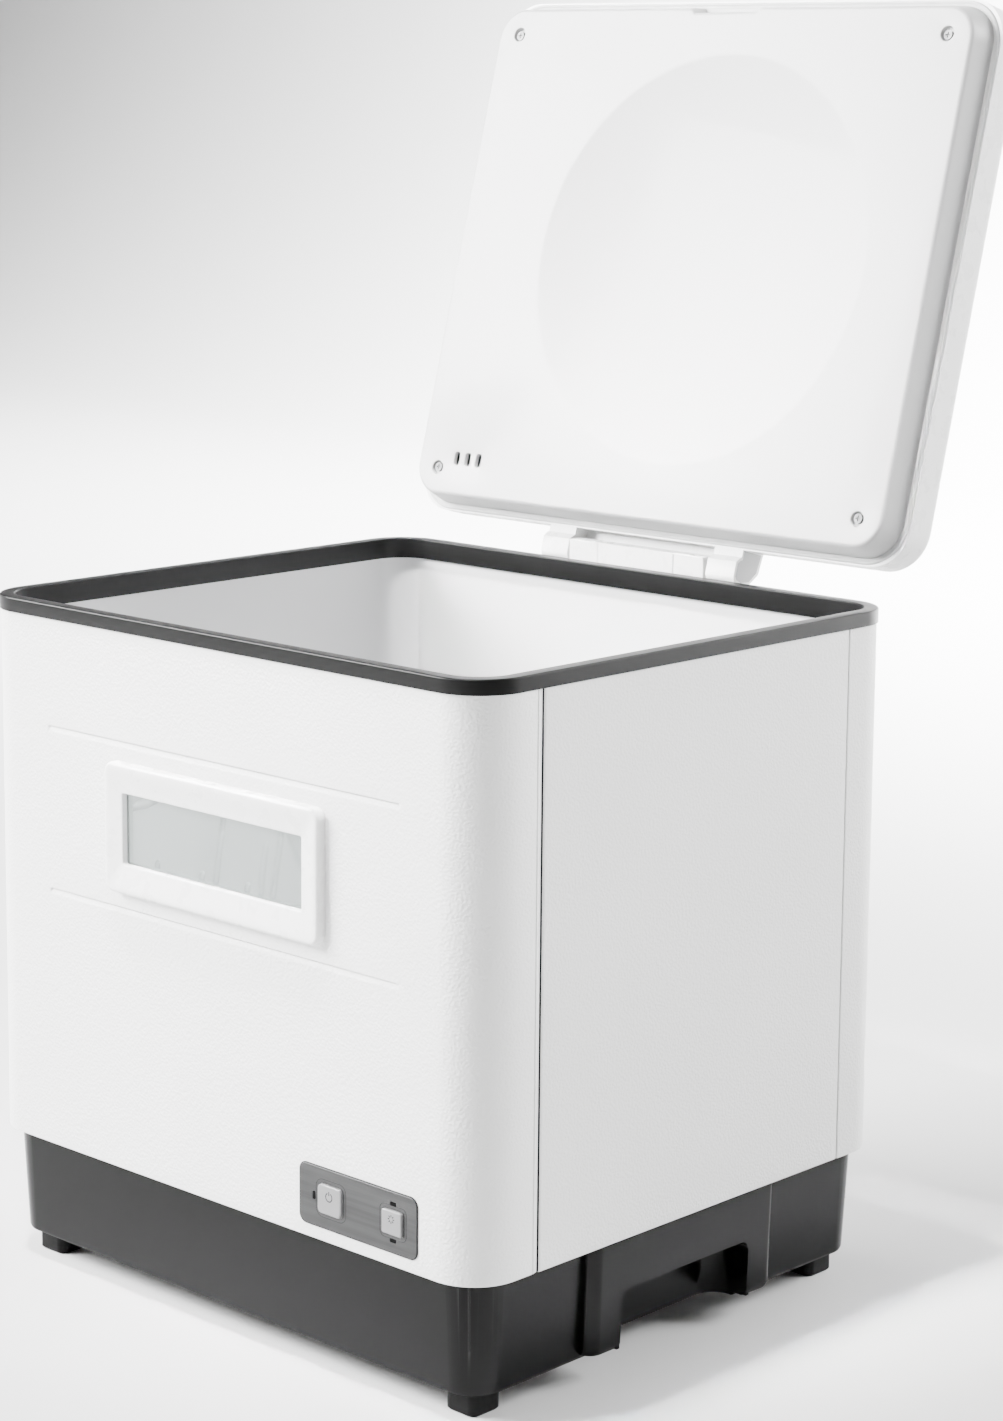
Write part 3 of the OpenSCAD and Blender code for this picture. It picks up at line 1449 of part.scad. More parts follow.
base_pan();
foot_front_left();
foot_front_right();
foot_rear_left();
foot_rear_right();
front_shell();
side_panel_left();
side_panel_right();
rear_shell();
rear_screws();
tub_rim();
tub();
window_frame();
window_glass();
window_seal();
control_plate();
power_button();
start_button();
indicator_lenses();
control_tray();
control_board();
lid_shell();
lid_liner();
lid_seal();
lid_screws();
hinge_bracket();
hinge_block_left();
hinge_block_right();
hinge_pin();
sump();
filter_basket();
spray_post();
spray_arm();
spray_nut();
pump_housing();
pump_motor();
pump_rotor();
pump_mount();
heater();
thermostat();
suction_hose();
pump_hose();
feed_hose();
drain_pump();
drain_inlet_hose();
drain_hose();
drain_outlet();
power_board();
cord_gland();
rack_base();
rack_feet();
rack_rail();
rack_uprights();
rack_row_1();
rack_row_2();
rack_row_3();
rack_row_4();
rack_row_5();
rack_row_6();
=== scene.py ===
import json
import math
import bmesh
import bpy
import numpy as np
from mathutils import Matrix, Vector
from mathutils.geometry import delaunay_2d_cdt


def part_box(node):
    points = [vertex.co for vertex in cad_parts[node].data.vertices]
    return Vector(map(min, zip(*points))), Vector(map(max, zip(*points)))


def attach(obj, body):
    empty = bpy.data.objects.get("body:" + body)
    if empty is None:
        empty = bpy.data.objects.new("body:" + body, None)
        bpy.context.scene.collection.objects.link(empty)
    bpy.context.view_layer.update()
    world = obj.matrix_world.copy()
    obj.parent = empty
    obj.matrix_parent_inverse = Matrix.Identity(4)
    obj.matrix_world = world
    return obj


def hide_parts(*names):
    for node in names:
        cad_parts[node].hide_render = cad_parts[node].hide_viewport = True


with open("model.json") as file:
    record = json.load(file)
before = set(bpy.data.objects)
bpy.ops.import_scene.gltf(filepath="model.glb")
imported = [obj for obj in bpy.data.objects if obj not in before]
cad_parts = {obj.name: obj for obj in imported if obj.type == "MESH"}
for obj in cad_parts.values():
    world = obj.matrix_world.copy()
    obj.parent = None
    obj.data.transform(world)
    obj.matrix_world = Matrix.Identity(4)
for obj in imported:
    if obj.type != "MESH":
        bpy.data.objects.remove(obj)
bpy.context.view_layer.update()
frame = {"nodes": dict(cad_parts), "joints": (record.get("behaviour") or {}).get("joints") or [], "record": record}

MM = 0.001
nodes = frame["nodes"]

# ------------------------------------------------------------------ places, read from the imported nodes


def box(node):
    """Lowest corner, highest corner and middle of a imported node, in metres."""
    low, high = (np.array(c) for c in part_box(node))
    return low, high, (low + high) / 2


def front_half(node):
    """Half width and half height of a node, seen from the front."""
    low, high, _ = box(node)
    return (high[0] - low[0]) / 2, (high[2] - low[2]) / 2


skin_low, skin_high, _ = box("front_shell")
FRONT_Y, REAR_Y = skin_low[1], box("rear_shell")[1][1]
MID_Y = (FRONT_Y + REAR_Y) / 2
HALF_W, HALF_D = skin_high[0], (REAR_Y - FRONT_Y) / 2
SKIN_Z, SKIN_TOP = skin_low[2], skin_high[2]
RIM_TOP = box("tub_rim")[1][2]
HINGE = np.array(next(j for j in frame["joints"] if j["name"] == "lid_hinge")["pos_m"])
OPEN_ANGLE = math.radians(105)
SIDES = {-1: "left", 1: "right"}

# ------------------------------------------------------------------ sizes that the nodes' boxes don't give
# (they repeat the part's source where it has them)

# outer sheets: corner radius and thickness, half of the flat front, length of a corner's quarter turn,
# (width, drop) of the rolled edges, and half sizes of the cut-outs that other pieces cover
BODY_R, SHEET = 30 * MM, 2 * MM
FLAT, CORNER = HALF_W - BODY_R, BODY_R * math.pi / 2
LOWER_ROLL, FRONT_ROLL, SIDE_ROLL = (1 * MM, 0.8 * MM), (0.9 * MM, 0.8 * MM), (1.2 * MM, 0.9 * MM)
SHEET_CUTS = {"window_frame": (82 * MM, 27 * MM), "power_button": (8 * MM, 7 * MM),
              "start_button": (8 * MM, 7 * MM)}
GROOVE_PITCH, GROOVE_LEN, GROOVE_DEPTH, GROOVE_END = 99.8 * MM, 298 * MM, 1.2 * MM, 1.2 * MM

# rim: how far it stands out of the sheets and reaches in over the tub, and its thicknesses
RIM_PROUD, RIM_IN = 1 * MM, 8.1 * MM
RIM_WALL, RIM_TOP_T, RIM_OUTER_T = 2 * MM, 3 * MM, 3.3 * MM

# window: clear opening, then the frame's corner radius, edge rounding and the dip of its face, then the
# sleeve behind the sheet, and the pane's roundings
WINDOW_W, WINDOW_H, WINDOW_R = 152.5 * MM, 42.5 * MM, 1.2 * MM
FRAME_R, FRAME_EDGE, FRAME_DIP, FRAME_LIP, FRAME_LEDGE = 7 * MM, 2.2 * MM, 1.6 * MM, 0.9 * MM, 0.6 * MM
SLEEVE_OUT, SLEEVE_R, SLEEVE_T, SLEEVE_DEEP = 6 * MM, 5 * MM, 2.5 * MM, 2.4 * MM
PANE_SOFT, PANE_CHAMFER = 0.4 * MM, 0.3 * MM

# control plate: corner radius, thickness, width and height of the dark edge, and where the face's own
# side starts, then the roundings, the faint frames round the buttons and the lamp slots
PLATE_R, PLATE_T, EDGE_W, EDGE_T, FACE_FROM = 5.5 * MM, 0.8 * MM, 0.7 * MM, 0.57 * MM, 0.3 * MM
PLATE_SOFT, HOLE_SOFT = 0.15 * MM, 0.12 * MM
LINE_OUT, LINE_R, LINE_FOOT, LINE_TOP, LINE_RISE = 2.6 * MM, 2 * MM, 0.22 * MM, 0.12 * MM, 0.07 * MM
LAMP_LONG, LAMP_SHORT, LAMP_PITCH, LAMP_GAP, LAMP_R = 4.6 * MM, 2.2 * MM, 10.5 * MM, 0.15 * MM, 0.75 * MM

# buttons: body, width, height and corner radius; then the caps and the marks on them
KEYS = {"power_button": ("power_key", 18.7 * MM, 16.9 * MM, 3 * MM),
        "start_button": ("start_key", 15.4 * MM, 13.8 * MM, 1.5 * MM)}
BUTTON_GAP, CAP_PROUD, CAP_SOFT, CAP_CROWN, CAP_ROOT = 0.35 * MM, 0.03 * MM, 0.6 * MM, 0.12 * MM, 2 * MM
MARK_R, MARK_UP, MARK_HALF, MARK_RISE, MARK_SINK = 2.5 * MM, 2.2 * MM, 0.33 * MM, 0.08 * MM, 0.03 * MM

# lid: its lower edge when closed, its wall, the seal with its two beads and the flat strip beside them,
# and the ears' outer sides, with the lift of the grey patches that paint the shade of their hollows
LID_Z, LID_WALL = RIM_TOP + 1.3 * MM, 4 * MM
SEAL_IN, SEAL_LIP, SEAL_ROOT, SEAL_BACK, SEAL_CORNER = 5.1 * MM, 4.1 * MM, 1 * MM, 0.5 * MM, 0.2 * MM
OUTER_BEAD_R, INNER_BEAD_R, INNER_BEAD_OUT, SEAL_FLAT = 1.1 * MM, 0.7 * MM, 0.9 * MM, 0.3 * MM
EAR_OUT, EAR_SHADE_LIFT = 82 * MM, 0.06 * MM

# lid's inner panel: outline, depth, lean and edge; then notch, dish, screw recesses and vents
PANEL_W, PANEL_D, PANEL_R = HALF_W - 13.6 * MM, HALF_D - 13 * MM, 20.7 * MM
PANEL_DEPTH, LINER_LEAN, PANEL_ROOT, PANEL_LEDGE = 17.3 * MM, 4.3 * MM, 3 * MM, 4 * MM
PANEL_SOFT, PANEL_BULGE, PANEL_DRAFT = 3 * MM, 0.5 * MM, 0.05 * MM
NOTCH_W, NOTCH_D, NOTCH_WIDER, NOTCH_END, NOTCH_STEP = 54 * MM, 3 * MM, 0.8 * MM, 1.2 * MM, 0.1 * MM
DISH_R, DISH_DEPTH, DISH_X, DISH_S, DISH_BLEND = 134 * MM, 14 * MM, 14 * MM, 171 * MM, 0.3 * MM
SCREW_IN, SCREW_S, RECESS_R, RECESS_DEEP = 18.7 * MM, 17.5 * MM, 4.8 * MM, 3 * MM
RECESS_MOUTH, RECESS_FOOT = 0.5 * MM, 0.4 * MM
VENT_IN, VENT_S, VENT_PITCH, VENT_W, VENT_L = 45 * MM, 25 * MM, 9.9 * MM, 5 * MM, 9.4 * MM
VENT_R, VENT_MOUTH, VENT_DEEP = 2 * MM, 0.4 * MM, 3 * MM

# distances at which points count as one: in a piece, in a carried-over node, and between grid lines
SAME_POINT, SAME_CORNER, SAME_LINE = 0.002 * MM, 0.01 * MM, 0.02 * MM

# ------------------------------------------------------------------ camera, floor and light

# camera found from the photograph's straight edges: place in metres, turn, rise and roll, focal length
# in the photograph's pixels, its height, and the row that the camera's axis meets
CAMERA_AT = (1.35415, MID_Y - 1.37639, 0.72917)
CAMERA_TURN = math.radians(43.365)
CAMERA_RISE = math.radians(9.221)
CAMERA_ROLL = math.radians(0.48)
FOCAL_PX = 3240.9
PHOTO_H = 1421
AXIS_ROW = 600
SENSOR = 36  # millimetres
CLIP_NEAR, CLIP_FAR = 0.05, 50
SKY_STRENGTH = 0.15


def level_axes(back):
    """Right and up of something that looks against the back direction and isn't rolled."""
    right = np.cross([0, 0, 1.0], back)
    right /= np.linalg.norm(right)
    return right, np.cross(back, right)


def stand(name, data, right, up, back, at):
    """New object at a place, with its own axes along the three given directions."""
    ob = bpy.data.objects.new(name, data)
    m = Matrix.Identity(4)
    for i in range(3):
        m[i][0], m[i][1], m[i][2], m[i][3] = right[i], up[i], back[i], at[i]
    ob.matrix_world = m
    bpy.context.scene.collection.objects.link(ob)
    return ob


def aim_camera():
    """Camera axes: back points from the target to the eye, right lies level, then both turn by the roll."""
    a, e, r = CAMERA_TURN, CAMERA_RISE, CAMERA_ROLL
    back = np.array([math.sin(a) * math.cos(e), -math.cos(a) * math.cos(e), math.sin(e)])
    right, up = level_axes(back)
    data = bpy.data.cameras.new("camera")
    data.sensor_width = SENSOR
    data.lens = FOCAL_PX / PHOTO_H * SENSOR
    data.shift_y = -(PHOTO_H / 2 - AXIS_ROW) / PHOTO_H
    data.clip_start, data.clip_end = CLIP_NEAR, CLIP_FAR
    bpy.context.scene.camera = stand("camera", data, math.cos(r) * right + math.sin(r) * up,
                                     -math.sin(r) * right + math.cos(r) * up, back, CAMERA_AT)


def soft_light(name, at, look, size, power, spread=180):
    """Area light at a place, turned so that it shines on the look point, over an angle in degrees."""
    data = bpy.data.lights.new(name, "AREA")
    data.shape = "RECTANGLE"
    data.size, data.size_y = size
    data.energy = power
    data.spread = math.radians(spread)
    back = np.array(at, float) - np.array(look, float)
    back /= np.linalg.norm(back)
    stand(name, data, *level_axes(back), back, at)


def studio():
    """Front light from the left and a weaker one from the right rear, so that the near corner stays
    darker; a narrow one for the tub, and one each for the wall and for the floor in front."""
    world = bpy.data.worlds.new("studio")
    bpy.context.scene.world = world
    world.use_nodes = True
    sky = world.node_tree.nodes["Background"]
    sky.inputs["Color"].default_value = (1, 1, 1, 1)
    sky.inputs["Strength"].default_value = SKY_STRENGTH
    middle = (0, 0, 0.35)
    soft_light("front_light", (-2.6, -2.1, 2.2), middle, (2.2, 1.8), 1130)
    soft_light("rear_light", (2.4, 2.5, 2.4), middle, (1.4, 1.8), 250)
    soft_light("top_light", (-0.1, -0.5, 2.6), (0, 0, 0.3), (0.3, 0.3), 9, 17)
    soft_light("wall_light", (0, 1.6, 3.6), (0, 4.2, 0.6), (5.0, 1.2), 2600, 110)
    soft_light("floor_light", (0, -7.0, 4.5), (0, -7.6, 0), (9.0, 3.0), 2600, 115)


def backdrop():
    """Pale floor that rises in one quarter turn into a wall well behind the part."""
    wide, near, far, bend, high = 20.0, -30.0, 3.2, 2.0, 6.0
    t = np.linspace(0, math.pi / 2, 25)
    y = np.concatenate([[near, 0], far + bend * np.sin(t), [far + bend]])
    z = np.concatenate([[0, 0], bend - bend * np.cos(t), [high]])
    points = np.stack([np.stack([k * wide + 0 * y, y, z], 1) for k in (-1, 1)], 1)
    verts, faces = grid(points, wrap=False)
    mesh = bpy.data.meshes.new("floor")
    mesh.from_pydata(verts.tolist(), [], faces.tolist())
    mesh.shade_smooth()
    mesh.materials.append(plain_floor())
    ob = bpy.data.objects.new("floor", mesh)
    bpy.context.scene.collection.objects.link(ob)


# ------------------------------------------------------------------ surfaces

def grid(points, wrap=True):
    """Quads over a (rows, columns, 3) array. Rows rise and columns turn anticlockwise, seen from
    outside, so every face looks outwards. wrap joins the last column to the first."""
    nrow, ncol = points.shape[:2]
    index = np.arange(nrow * ncol).reshape(nrow, ncol)
    left = index if wrap else index[:, :-1]
    right = np.roll(index, -1, axis=1) if wrap else index[:, 1:]
    quads = np.stack([left[:-1], right[:-1], right[1:], left[1:]], -1).reshape(-1, 4)
    return points.reshape(-1, 3), quads


def track(a, b, r, arc, run=8):
    """Closed rounded rectangle with half sizes a and b, anticlockwise: four arcs of radius r joined
    by straight runs. Gives its points and outward normals, both (n, 2)."""
    points, normals = [], []
    for q, (sx, sy) in enumerate([(1, 1), (-1, 1), (-1, -1), (1, -1)]):
        turn = np.linspace(0, math.pi / 2, arc + 1) + q * math.pi / 2
        n = np.stack([np.cos(turn), np.sin(turn)], 1)
        corner = np.array([sx * (a - r), sy * (b - r)]) + r * n
        step = n[-1][::-1] * (-1, 1)
        length = 2 * (b - r) if q % 2 else 2 * (a - r)
        straight = corner[-1] + step * length * np.linspace(0, 1, run + 1)[1:-1, None]
        points += [corner, straight]
        normals += [n, np.repeat(n[-1:], run - 1, axis=0)]
    return np.vstack(points), np.vstack(normals)


def ring(r, count, centre):
    """Circle, anticlockwise, with its outward normals."""
    turn = np.linspace(0, 2 * math.pi, count, endpoint=False)
    n = np.stack([np.cos(turn), np.sin(turn)], 1)
    return np.array(centre) + r * n, n


def offset(loop, out):
    """Points of a path moved outwards: point + out * normal."""
    return loop[0] + out * loop[1]


def moved(loop, x, y):
    """Path moved within its plane, with its normals."""
    return loop[0] + (x, y), loop[1]


def ease(t):
    """Soft step from 0 to 1, level at both ends: 3 t^2 - 2 t^3."""
    return t * t * (3 - 2 * t)


def arc_rows(cx, cy, r, start, end, steps=5):
    """Rows of a profile on an arc about (cx, cy), angles in degrees."""
    t = np.radians(np.linspace(start, end, steps + 1))
    return np.stack([cx + r * np.cos(t), cy + r * np.sin(t)], 1)


def rows(*parts):
    """Profile of single (out, up) points and of arcs, one after the other."""
    return np.vstack([np.atleast_2d(p) for p in parts])


def sweep(loop, profile, place):
    """Profile carried round a closed path: point = path + out * normal at height up, where the
    profile's rows are (out, up)."""
    path, normals = loop
    flat = path[None] + profile[:, 0][:, None, None] * normals[None]
    up = np.broadcast_to(profile[:, 1][:, None], flat.shape[:2])
    return grid(place(flat[..., 0], flat[..., 1], up))


def pillow(loop, out, up, crown, place, steps=6):
    """Closes a path with shrinking copies of itself: point = k * path, height = up + crown * (1 - k^2)."""
    k = np.linspace(1, 0, steps + 1)[:, None, None]
    flat = offset(loop, out)[None] * k
    height = np.broadcast_to(up + crown * (1 - k[..., 0] ** 2), flat.shape[:2])
    return grid(place(flat[..., 0], flat[..., 1], height))


def funnel(wide, wide_up, narrow, narrow_up, place, steps=8):
    """Strip between two closed paths with as many points each: point = (1 - k) * wide + k * narrow,
    height going from one level to the other as ease(k)."""
    k = np.linspace(0, 1, steps + 1)[:, None]
    flat = (1 - k[..., None]) * wide + k[..., None] * narrow
    height = np.broadcast_to(wide_up + (narrow_up - wide_up) * ease(k), flat.shape[:2])
    return grid(place(flat[..., 0], flat[..., 1], height))


def inside(loop, spots):
    """Even-odd rule: which of the spots lie within the closed loop."""
    a, b = loop, np.roll(loop, -1, axis=0)
    x, y = spots[:, 0, None], spots[:, 1, None]
    crosses = (a[:, 1] > y) != (b[:, 1] > y)
    rise = np.where(b[:, 1] == a[:, 1], 1, b[:, 1] - a[:, 1])
    return (crosses & (x < a[:, 0] + (y - a[:, 1]) / rise * (b[:, 0] - a[:, 0]))).sum(1) % 2 == 1


def plate(loops, up, place):
    """Flat sheet bounded by the first loop, with the other loops cut out of it. The triangulation
    is worked out in millimetres."""
    points = np.vstack(loops) / MM
    edges, start = [], 0
    for loop in loops:
        n = len(loop)
        edges += [(start + i, start + (i + 1) % n) for i in range(n)]
        start += n
    within_edges, tolerance = 1, 1e-7
    spots, _, found, *_ = delaunay_2d_cdt([tuple(p) for p in points], edges, [], within_edges, tolerance)
    spots = np.array([tuple(p) for p in spots]) * MM
    tris = np.array([f for f in found if len(f) == 3])
    middle = spots[tris].mean(1)
    within = inside(loops[0], middle)
    for loop in loops[1:]:
        within &= ~inside(loop, middle)
    tris = tris[within]
    e1, e2 = spots[tris[:, 1]] - spots[tris[:, 0]], spots[tris[:, 2]] - spots[tris[:, 0]]
    wrong = e1[:, 0] * e2[:, 1] - e1[:, 1] * e2[:, 0] < 0
    tris[wrong] = tris[wrong][:, ::-1]
    return place(spots[:, 0], spots[:, 1], np.full(len(spots), up)), tris


def shell(outer, inner, keep):
    """Sheet of some thickness between two (rows, columns, 3) arrays: the cells of keep on both
    sides, and a wall wherever a kept cell has no neighbour. Marks all but the outer side as back, for the dark
    material that paints the seams' shade."""
    nrow, ncol = outer.shape[:2]
    n = nrow * ncol
    index = np.arange(n).reshape(nrow, ncol)
    a, b, c, d = index[:-1, :-1], index[:-1, 1:], index[1:, 1:], index[1:, :-1]
    quads = np.stack([a, b, c, d], -1)[keep]
    faces = [quads, quads[:, ::-1] + n]
    pad = np.pad(keep, 1)
    gaps = [(~pad[:-2, 1:-1], a, b), (~pad[1:-1, 2:], b, c), (~pad[2:, 1:-1], c, d), (~pad[1:-1, :-2], d, a)]
    for missing, p, q in gaps:
        edge = keep & missing
        faces.append(np.stack([p[edge], p[edge] + n, q[edge] + n, q[edge]], -1))
    back = np.arange(sum(len(f) for f in faces)) >= len(quads)
    return np.vstack([outer.reshape(-1, 3), inner.reshape(-1, 3)]), np.vstack(faces), back


def piece(name, parts, body, slot, instead=(), crease=35, material=None):
    """One object from several surfaces: merges what meets, marks creases, dresses and hands it over.
    Faces that a part marks as back get a dark bare-sheet material: partly the sheet's real bare back,
    partly painted shade in the seams."""
    verts, faces, seam_shade_backs, start = [], [], [], 0
    for v, f, *back in parts:
        verts.append(v)
        faces += (f + start).tolist()
        seam_shade_backs += back[0].tolist() if back else [False] * len(f)
        start += len(v)
    mesh = bpy.data.meshes.new(name)
    mesh.from_pydata(np.vstack(verts).tolist(), [], faces)
    mesh.materials.append(material or MATERIALS[slot])
    if any(seam_shade_backs):
        mesh.materials.append(BARE_BACK_SEAM_SHADE)
        mesh.polygons.foreach_set("material_index", np.array(seam_shade_backs, dtype=np.int32))
    bm = bmesh.new()
    bm.from_mesh(mesh)
    bmesh.ops.remove_doubles(bm, verts=bm.verts, dist=SAME_POINT)
    bm.to_mesh(mesh)
    bm.free()
    mesh.shade_smooth()
    mesh.set_sharp_from_angle(angle=math.radians(crease))
    ob = bpy.data.objects.new(name, mesh)
    bpy.context.scene.collection.objects.link(ob)
    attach(ob, body)
    if instead:
        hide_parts(*instead)


def level(cx, cy, z):
    """Places a path that lies flat and is seen from above."""
    return lambda u, v, w: np.stack([cx + u, cy + v, z + w + 0 * u], -1)


def on_front(mid, y=FRONT_Y):
    """Places a path about a middle point on the plane y, seen from the front: u to the right, v up,
    w towards the viewer."""
    return lambda u, v, w: np.stack([mid[0] + u, y - w + 0 * u, mid[2] + v], -1)


def opened(x, y, z):
    """Turns a place on the closed lid, given from the hinge's axis, to the open lid."""
    c, s = math.cos(-OPEN_ANGLE), math.sin(-OPEN_ANGLE)
    return np.stack([x + 0 * y, HINGE[1] + c * y - s * z, HINGE[2] + s * y + c * z], -1)


def under_lid(u, v, w):
    """Places a path on the lid's underside: on the closed lid u is +X, v is towards the free edge
    and w is down from the lid's lower edge."""
    return opened(u, MID_Y - v - HINGE[1], LID_Z - w - HINGE[2])


def lines(*parts):
    """Sorted grid lines without repeats."""
    every = np.sort(np.concatenate([np.atleast_1d(p) for p in parts]))
    return every[np.concatenate([[True], np.diff(every) > SAME_LINE])]


def roll(distance, width, depth):
    """How far a rolled sheet edge drops back, a quarter ellipse over its width."""
    t = np.clip(1 - distance / width, 0, 1)
    return depth * (1 - np.sqrt(1 - t * t))


# ------------------------------------------------------------------ the rim and the outer sheets

def make_rim():
    """Rim: its section carried round the opening of the tub. The section starts at the foot of the
    outer wall, goes over the top, down inside the tub and back along the underside."""
    low, high, _ = box("tub_rim")
    h, leg = high[2] - SKIN_TOP, low[2] - SKIN_TOP
    wide = RIM_IN + RIM_PROUD
    outer_r, inner_r, foot_r = 1.2 * MM, 0.8 * MM, 0.4 * MM
    section = rows((0, 0), (0, h - outer_r), arc_rows(-outer_r, h - outer_r, outer_r, 15, 90),
                   arc_rows(-wide + inner_r, h - inner_r, inner_r, 90, 180),
                   (-wide, leg + foot_r), arc_rows(-wide + foot_r, leg + foot_r, foot_r, 200, 270, 3),
                   (-wide + RIM_WALL, leg), (-wide + RIM_WALL, h - RIM_TOP_T),
                   (-RIM_OUTER_T, h - RIM_TOP_T), (-RIM_OUTER_T, 0), (0, 0))
    loop = track(high[0], HALF_D + RIM_PROUD, BODY_R + RIM_PROUD, arc=16)
    piece("rim_band", [sweep(loop, section, level(0, MID_Y, SKIN_TOP))], "housing", "rim_black", ["tub_rim"])


def skin_place(s, out, z):
    """Place on the sheets' outline: s metres round from the front's middle, out metres outwards.
    Straight, then a quarter turn of radius BODY_R, then straight back along the side."""
    along = np.abs(s)
    turn = np.clip((along - FLAT) / BODY_R, 0, math.pi / 2)
    back = np.maximum(along - FLAT - CORNER, 0)
    x = np.minimum(along, FLAT) + (BODY_R + out) * np.sin(turn)
    y = FRONT_Y + BODY_R - (BODY_R + out) * np.cos(turn) + back
    return np.stack([np.sign(s) * x, y, z + 0 * x], -1)


def groove_depth(s, z, middle, z0):
    """Pressed line at height z0: its section, steep above and easy below, times an ease at both ends.
    The section's heights are in millimetres and its depths in shares of GROOVE_DEPTH."""
    heights, depths = [-3.2, -2.6, -0.2, 0.25, 0.4, 0.85, 1.0], [0, 0.05, 0.75, 0.8, 1.45, 1.45, 0]
    dip = np.interp((z - z0) / MM, heights, depths)
    end = np.clip((GROOVE_LEN / 2 - np.abs(s - middle)) / GROOVE_END, 0, 1)
    return GROOVE_DEPTH * dip * ease(end)


def make_front_sheet():
    """Front sheet: a grid round the front and both corners, finer where it bends. It drops back by
    its seam beads, its rolled edges and the two pressed lines, and has the cut-outs."""
    _, _, window = box("window_frame")
    grooves = [window[2] + k * GROOVE_PITCH / 2 for k in (-1, 1)]
    end = FLAT + CORNER + (skin_high[1] - FRONT_Y - BODY_R)
    holes = []
    for node, (a, b) in SHEET_CUTS.items():
        _, _, mid = box(node)
        holes.append((mid[0] - a, mid[0] + a, mid[2] - b, mid[2] + b))
    # grid steps in millimetres, closest where a roll, a bead or a groove bends the sheet
    fine = np.array([0, 0.3, 0.6, 0.9, 1.2, 1.6]) * MM
    seam = end - np.array([0, 0.1, 0.25, 0.5, 0.9, 1.4, 2, 2.7, 3.4, 4, 4.3, 4.6, 4.9, 5.3]) * MM
    bend = FLAT + CORNER * np.linspace(0, 1, 25)
    groove_from, groove_to = window[0] - GROOVE_LEN / 2, window[0] + GROOVE_LEN / 2
    s = lines(np.linspace(-FLAT, FLAT, 25), -bend, bend, -seam, seam,
              groove_from + fine, groove_to - fine, *[h[:2] for h in holes])
    z = lines(np.linspace(SKIN_Z, SKIN_TOP, 22), SKIN_Z + fine * 0.7,
              *[z0 + np.linspace(-3.4, 1.3, 32) * MM for z0 in grooves], *[h[2:] for h in holes])
    around, height = np.meshgrid(s, z)
    # the sheet drops back at its very edge and in a fine pressed line beside it, both in millimetres
    edge = end - np.abs(around)
    bead = np.interp(edge / MM, [0, 4, 4.3, 4.6, 4.9, 5.3], [1.2, 0, 0.25, 0.9, 0.25, 0]) * MM
    out = -bead - roll(edge, *FRONT_ROLL) - roll(height - SKIN_Z, *LOWER_ROLL)
    for z0 in grooves:
        out = out - groove_depth(around, height, window[0], z0)
    cell_s, cell_z = ((g[1:, 1:] + g[:-1, :-1]) / 2 for g in (around, height))
    keep = np.ones_like(cell_s, bool)
    for left, right, low, high in holes:
        keep &= ~((cell_s > left) & (cell_s < right) & (cell_z > low) & (cell_z < high))
    thinnest = 0.6 * MM
    inner = np.minimum(-SHEET + 0 * out, out - thinnest)
    piece("front_sheet", [shell(skin_place(around, out, height), skin_place(around, inner, height), keep)],
          "housing", "white_paint", ["front_shell"], crease=50)


def make_side_sheet(side):
    """Side sheet: a flat grid whose seam edges and lower edge roll inwards."""
    node = "side_panel_" + SIDES[side]
    low, high, _ = box(node)
    fine = np.array([0, 0.1, 0.25, 0.5, 0.9, 1.3]) * MM
    y = lines(np.linspace(low[1], high[1], 12), low[1] + fine, high[1] - fine)
    z = lines(np.linspace(low[2], high[2], 14), low[2] + fine)
    depth, height = np.meshgrid(y[::side], z)
    back = roll(np.minimum(depth - low[1], high[1] - depth), *SIDE_ROLL) + roll(height - low[2], *LOWER_ROLL)
    thinnest = 0.5 * MM
    back = np.minimum(back, SHEET - thinnest)
    outer = np.stack([side * (HALF_W - back), depth, height], -1)
    inner = np.stack([side * (HALF_W - SHEET + 0 * depth), depth, height], -1)
    sheet = shell(outer, inner, np.ones((len(z) - 1, len(y) - 1), bool))
    piece("side_sheet_" + SIDES[side], [sheet], "housing", "white_paint", [node], crease=50)


# ------------------------------------------------------------------ window and controls

def make_window_frame():
    """Window frame: a steep side with a rounded edge, a face that dips to the clear opening, a
    rounded lip there, and the sleeve behind the sheet."""
    low, _, mid = box("window_frame")
    place = on_front(mid)
    out = FRONT_Y - low[1]
    low_face = out - FRAME_DIP
    outer = track(*front_half("window_frame"), FRAME_R, arc=12)
    opening = track(WINDOW_W / 2, WINDOW_H / 2, WINDOW_R, arc=12)
    sleeve = track(WINDOW_W / 2 + SLEEVE_OUT, WINDOW_H / 2 + SLEEVE_OUT, SLEEVE_R, arc=6)
    side = rows((0, 0), arc_rows(-FRAME_EDGE, out - FRAME_EDGE, FRAME_EDGE, 0, 90, 8))
    lip = rows(arc_rows(FRAME_LIP, low_face - FRAME_LIP, FRAME_LIP, 90, 180), (0, FRAME_LEDGE))
    back = rows((-SLEEVE_T, FRAME_LEDGE), (-SLEEVE_T, -SLEEVE_DEEP), (0, -SLEEVE_DEEP), (0, 0))
    parts = [sweep(outer, side, place),
             funnel(offset(outer, -FRAME_EDGE), out, offset(opening, FRAME_LIP), low_face, place),
             sweep(opening, lip, place), sweep(sleeve, back, place),
             plate([offset(sleeve, -SLEEVE_T), opening[0]], FRAME_LEDGE, place)]
    piece("window_bezel", parts, "housing", "white_plastic", ["window_frame"])


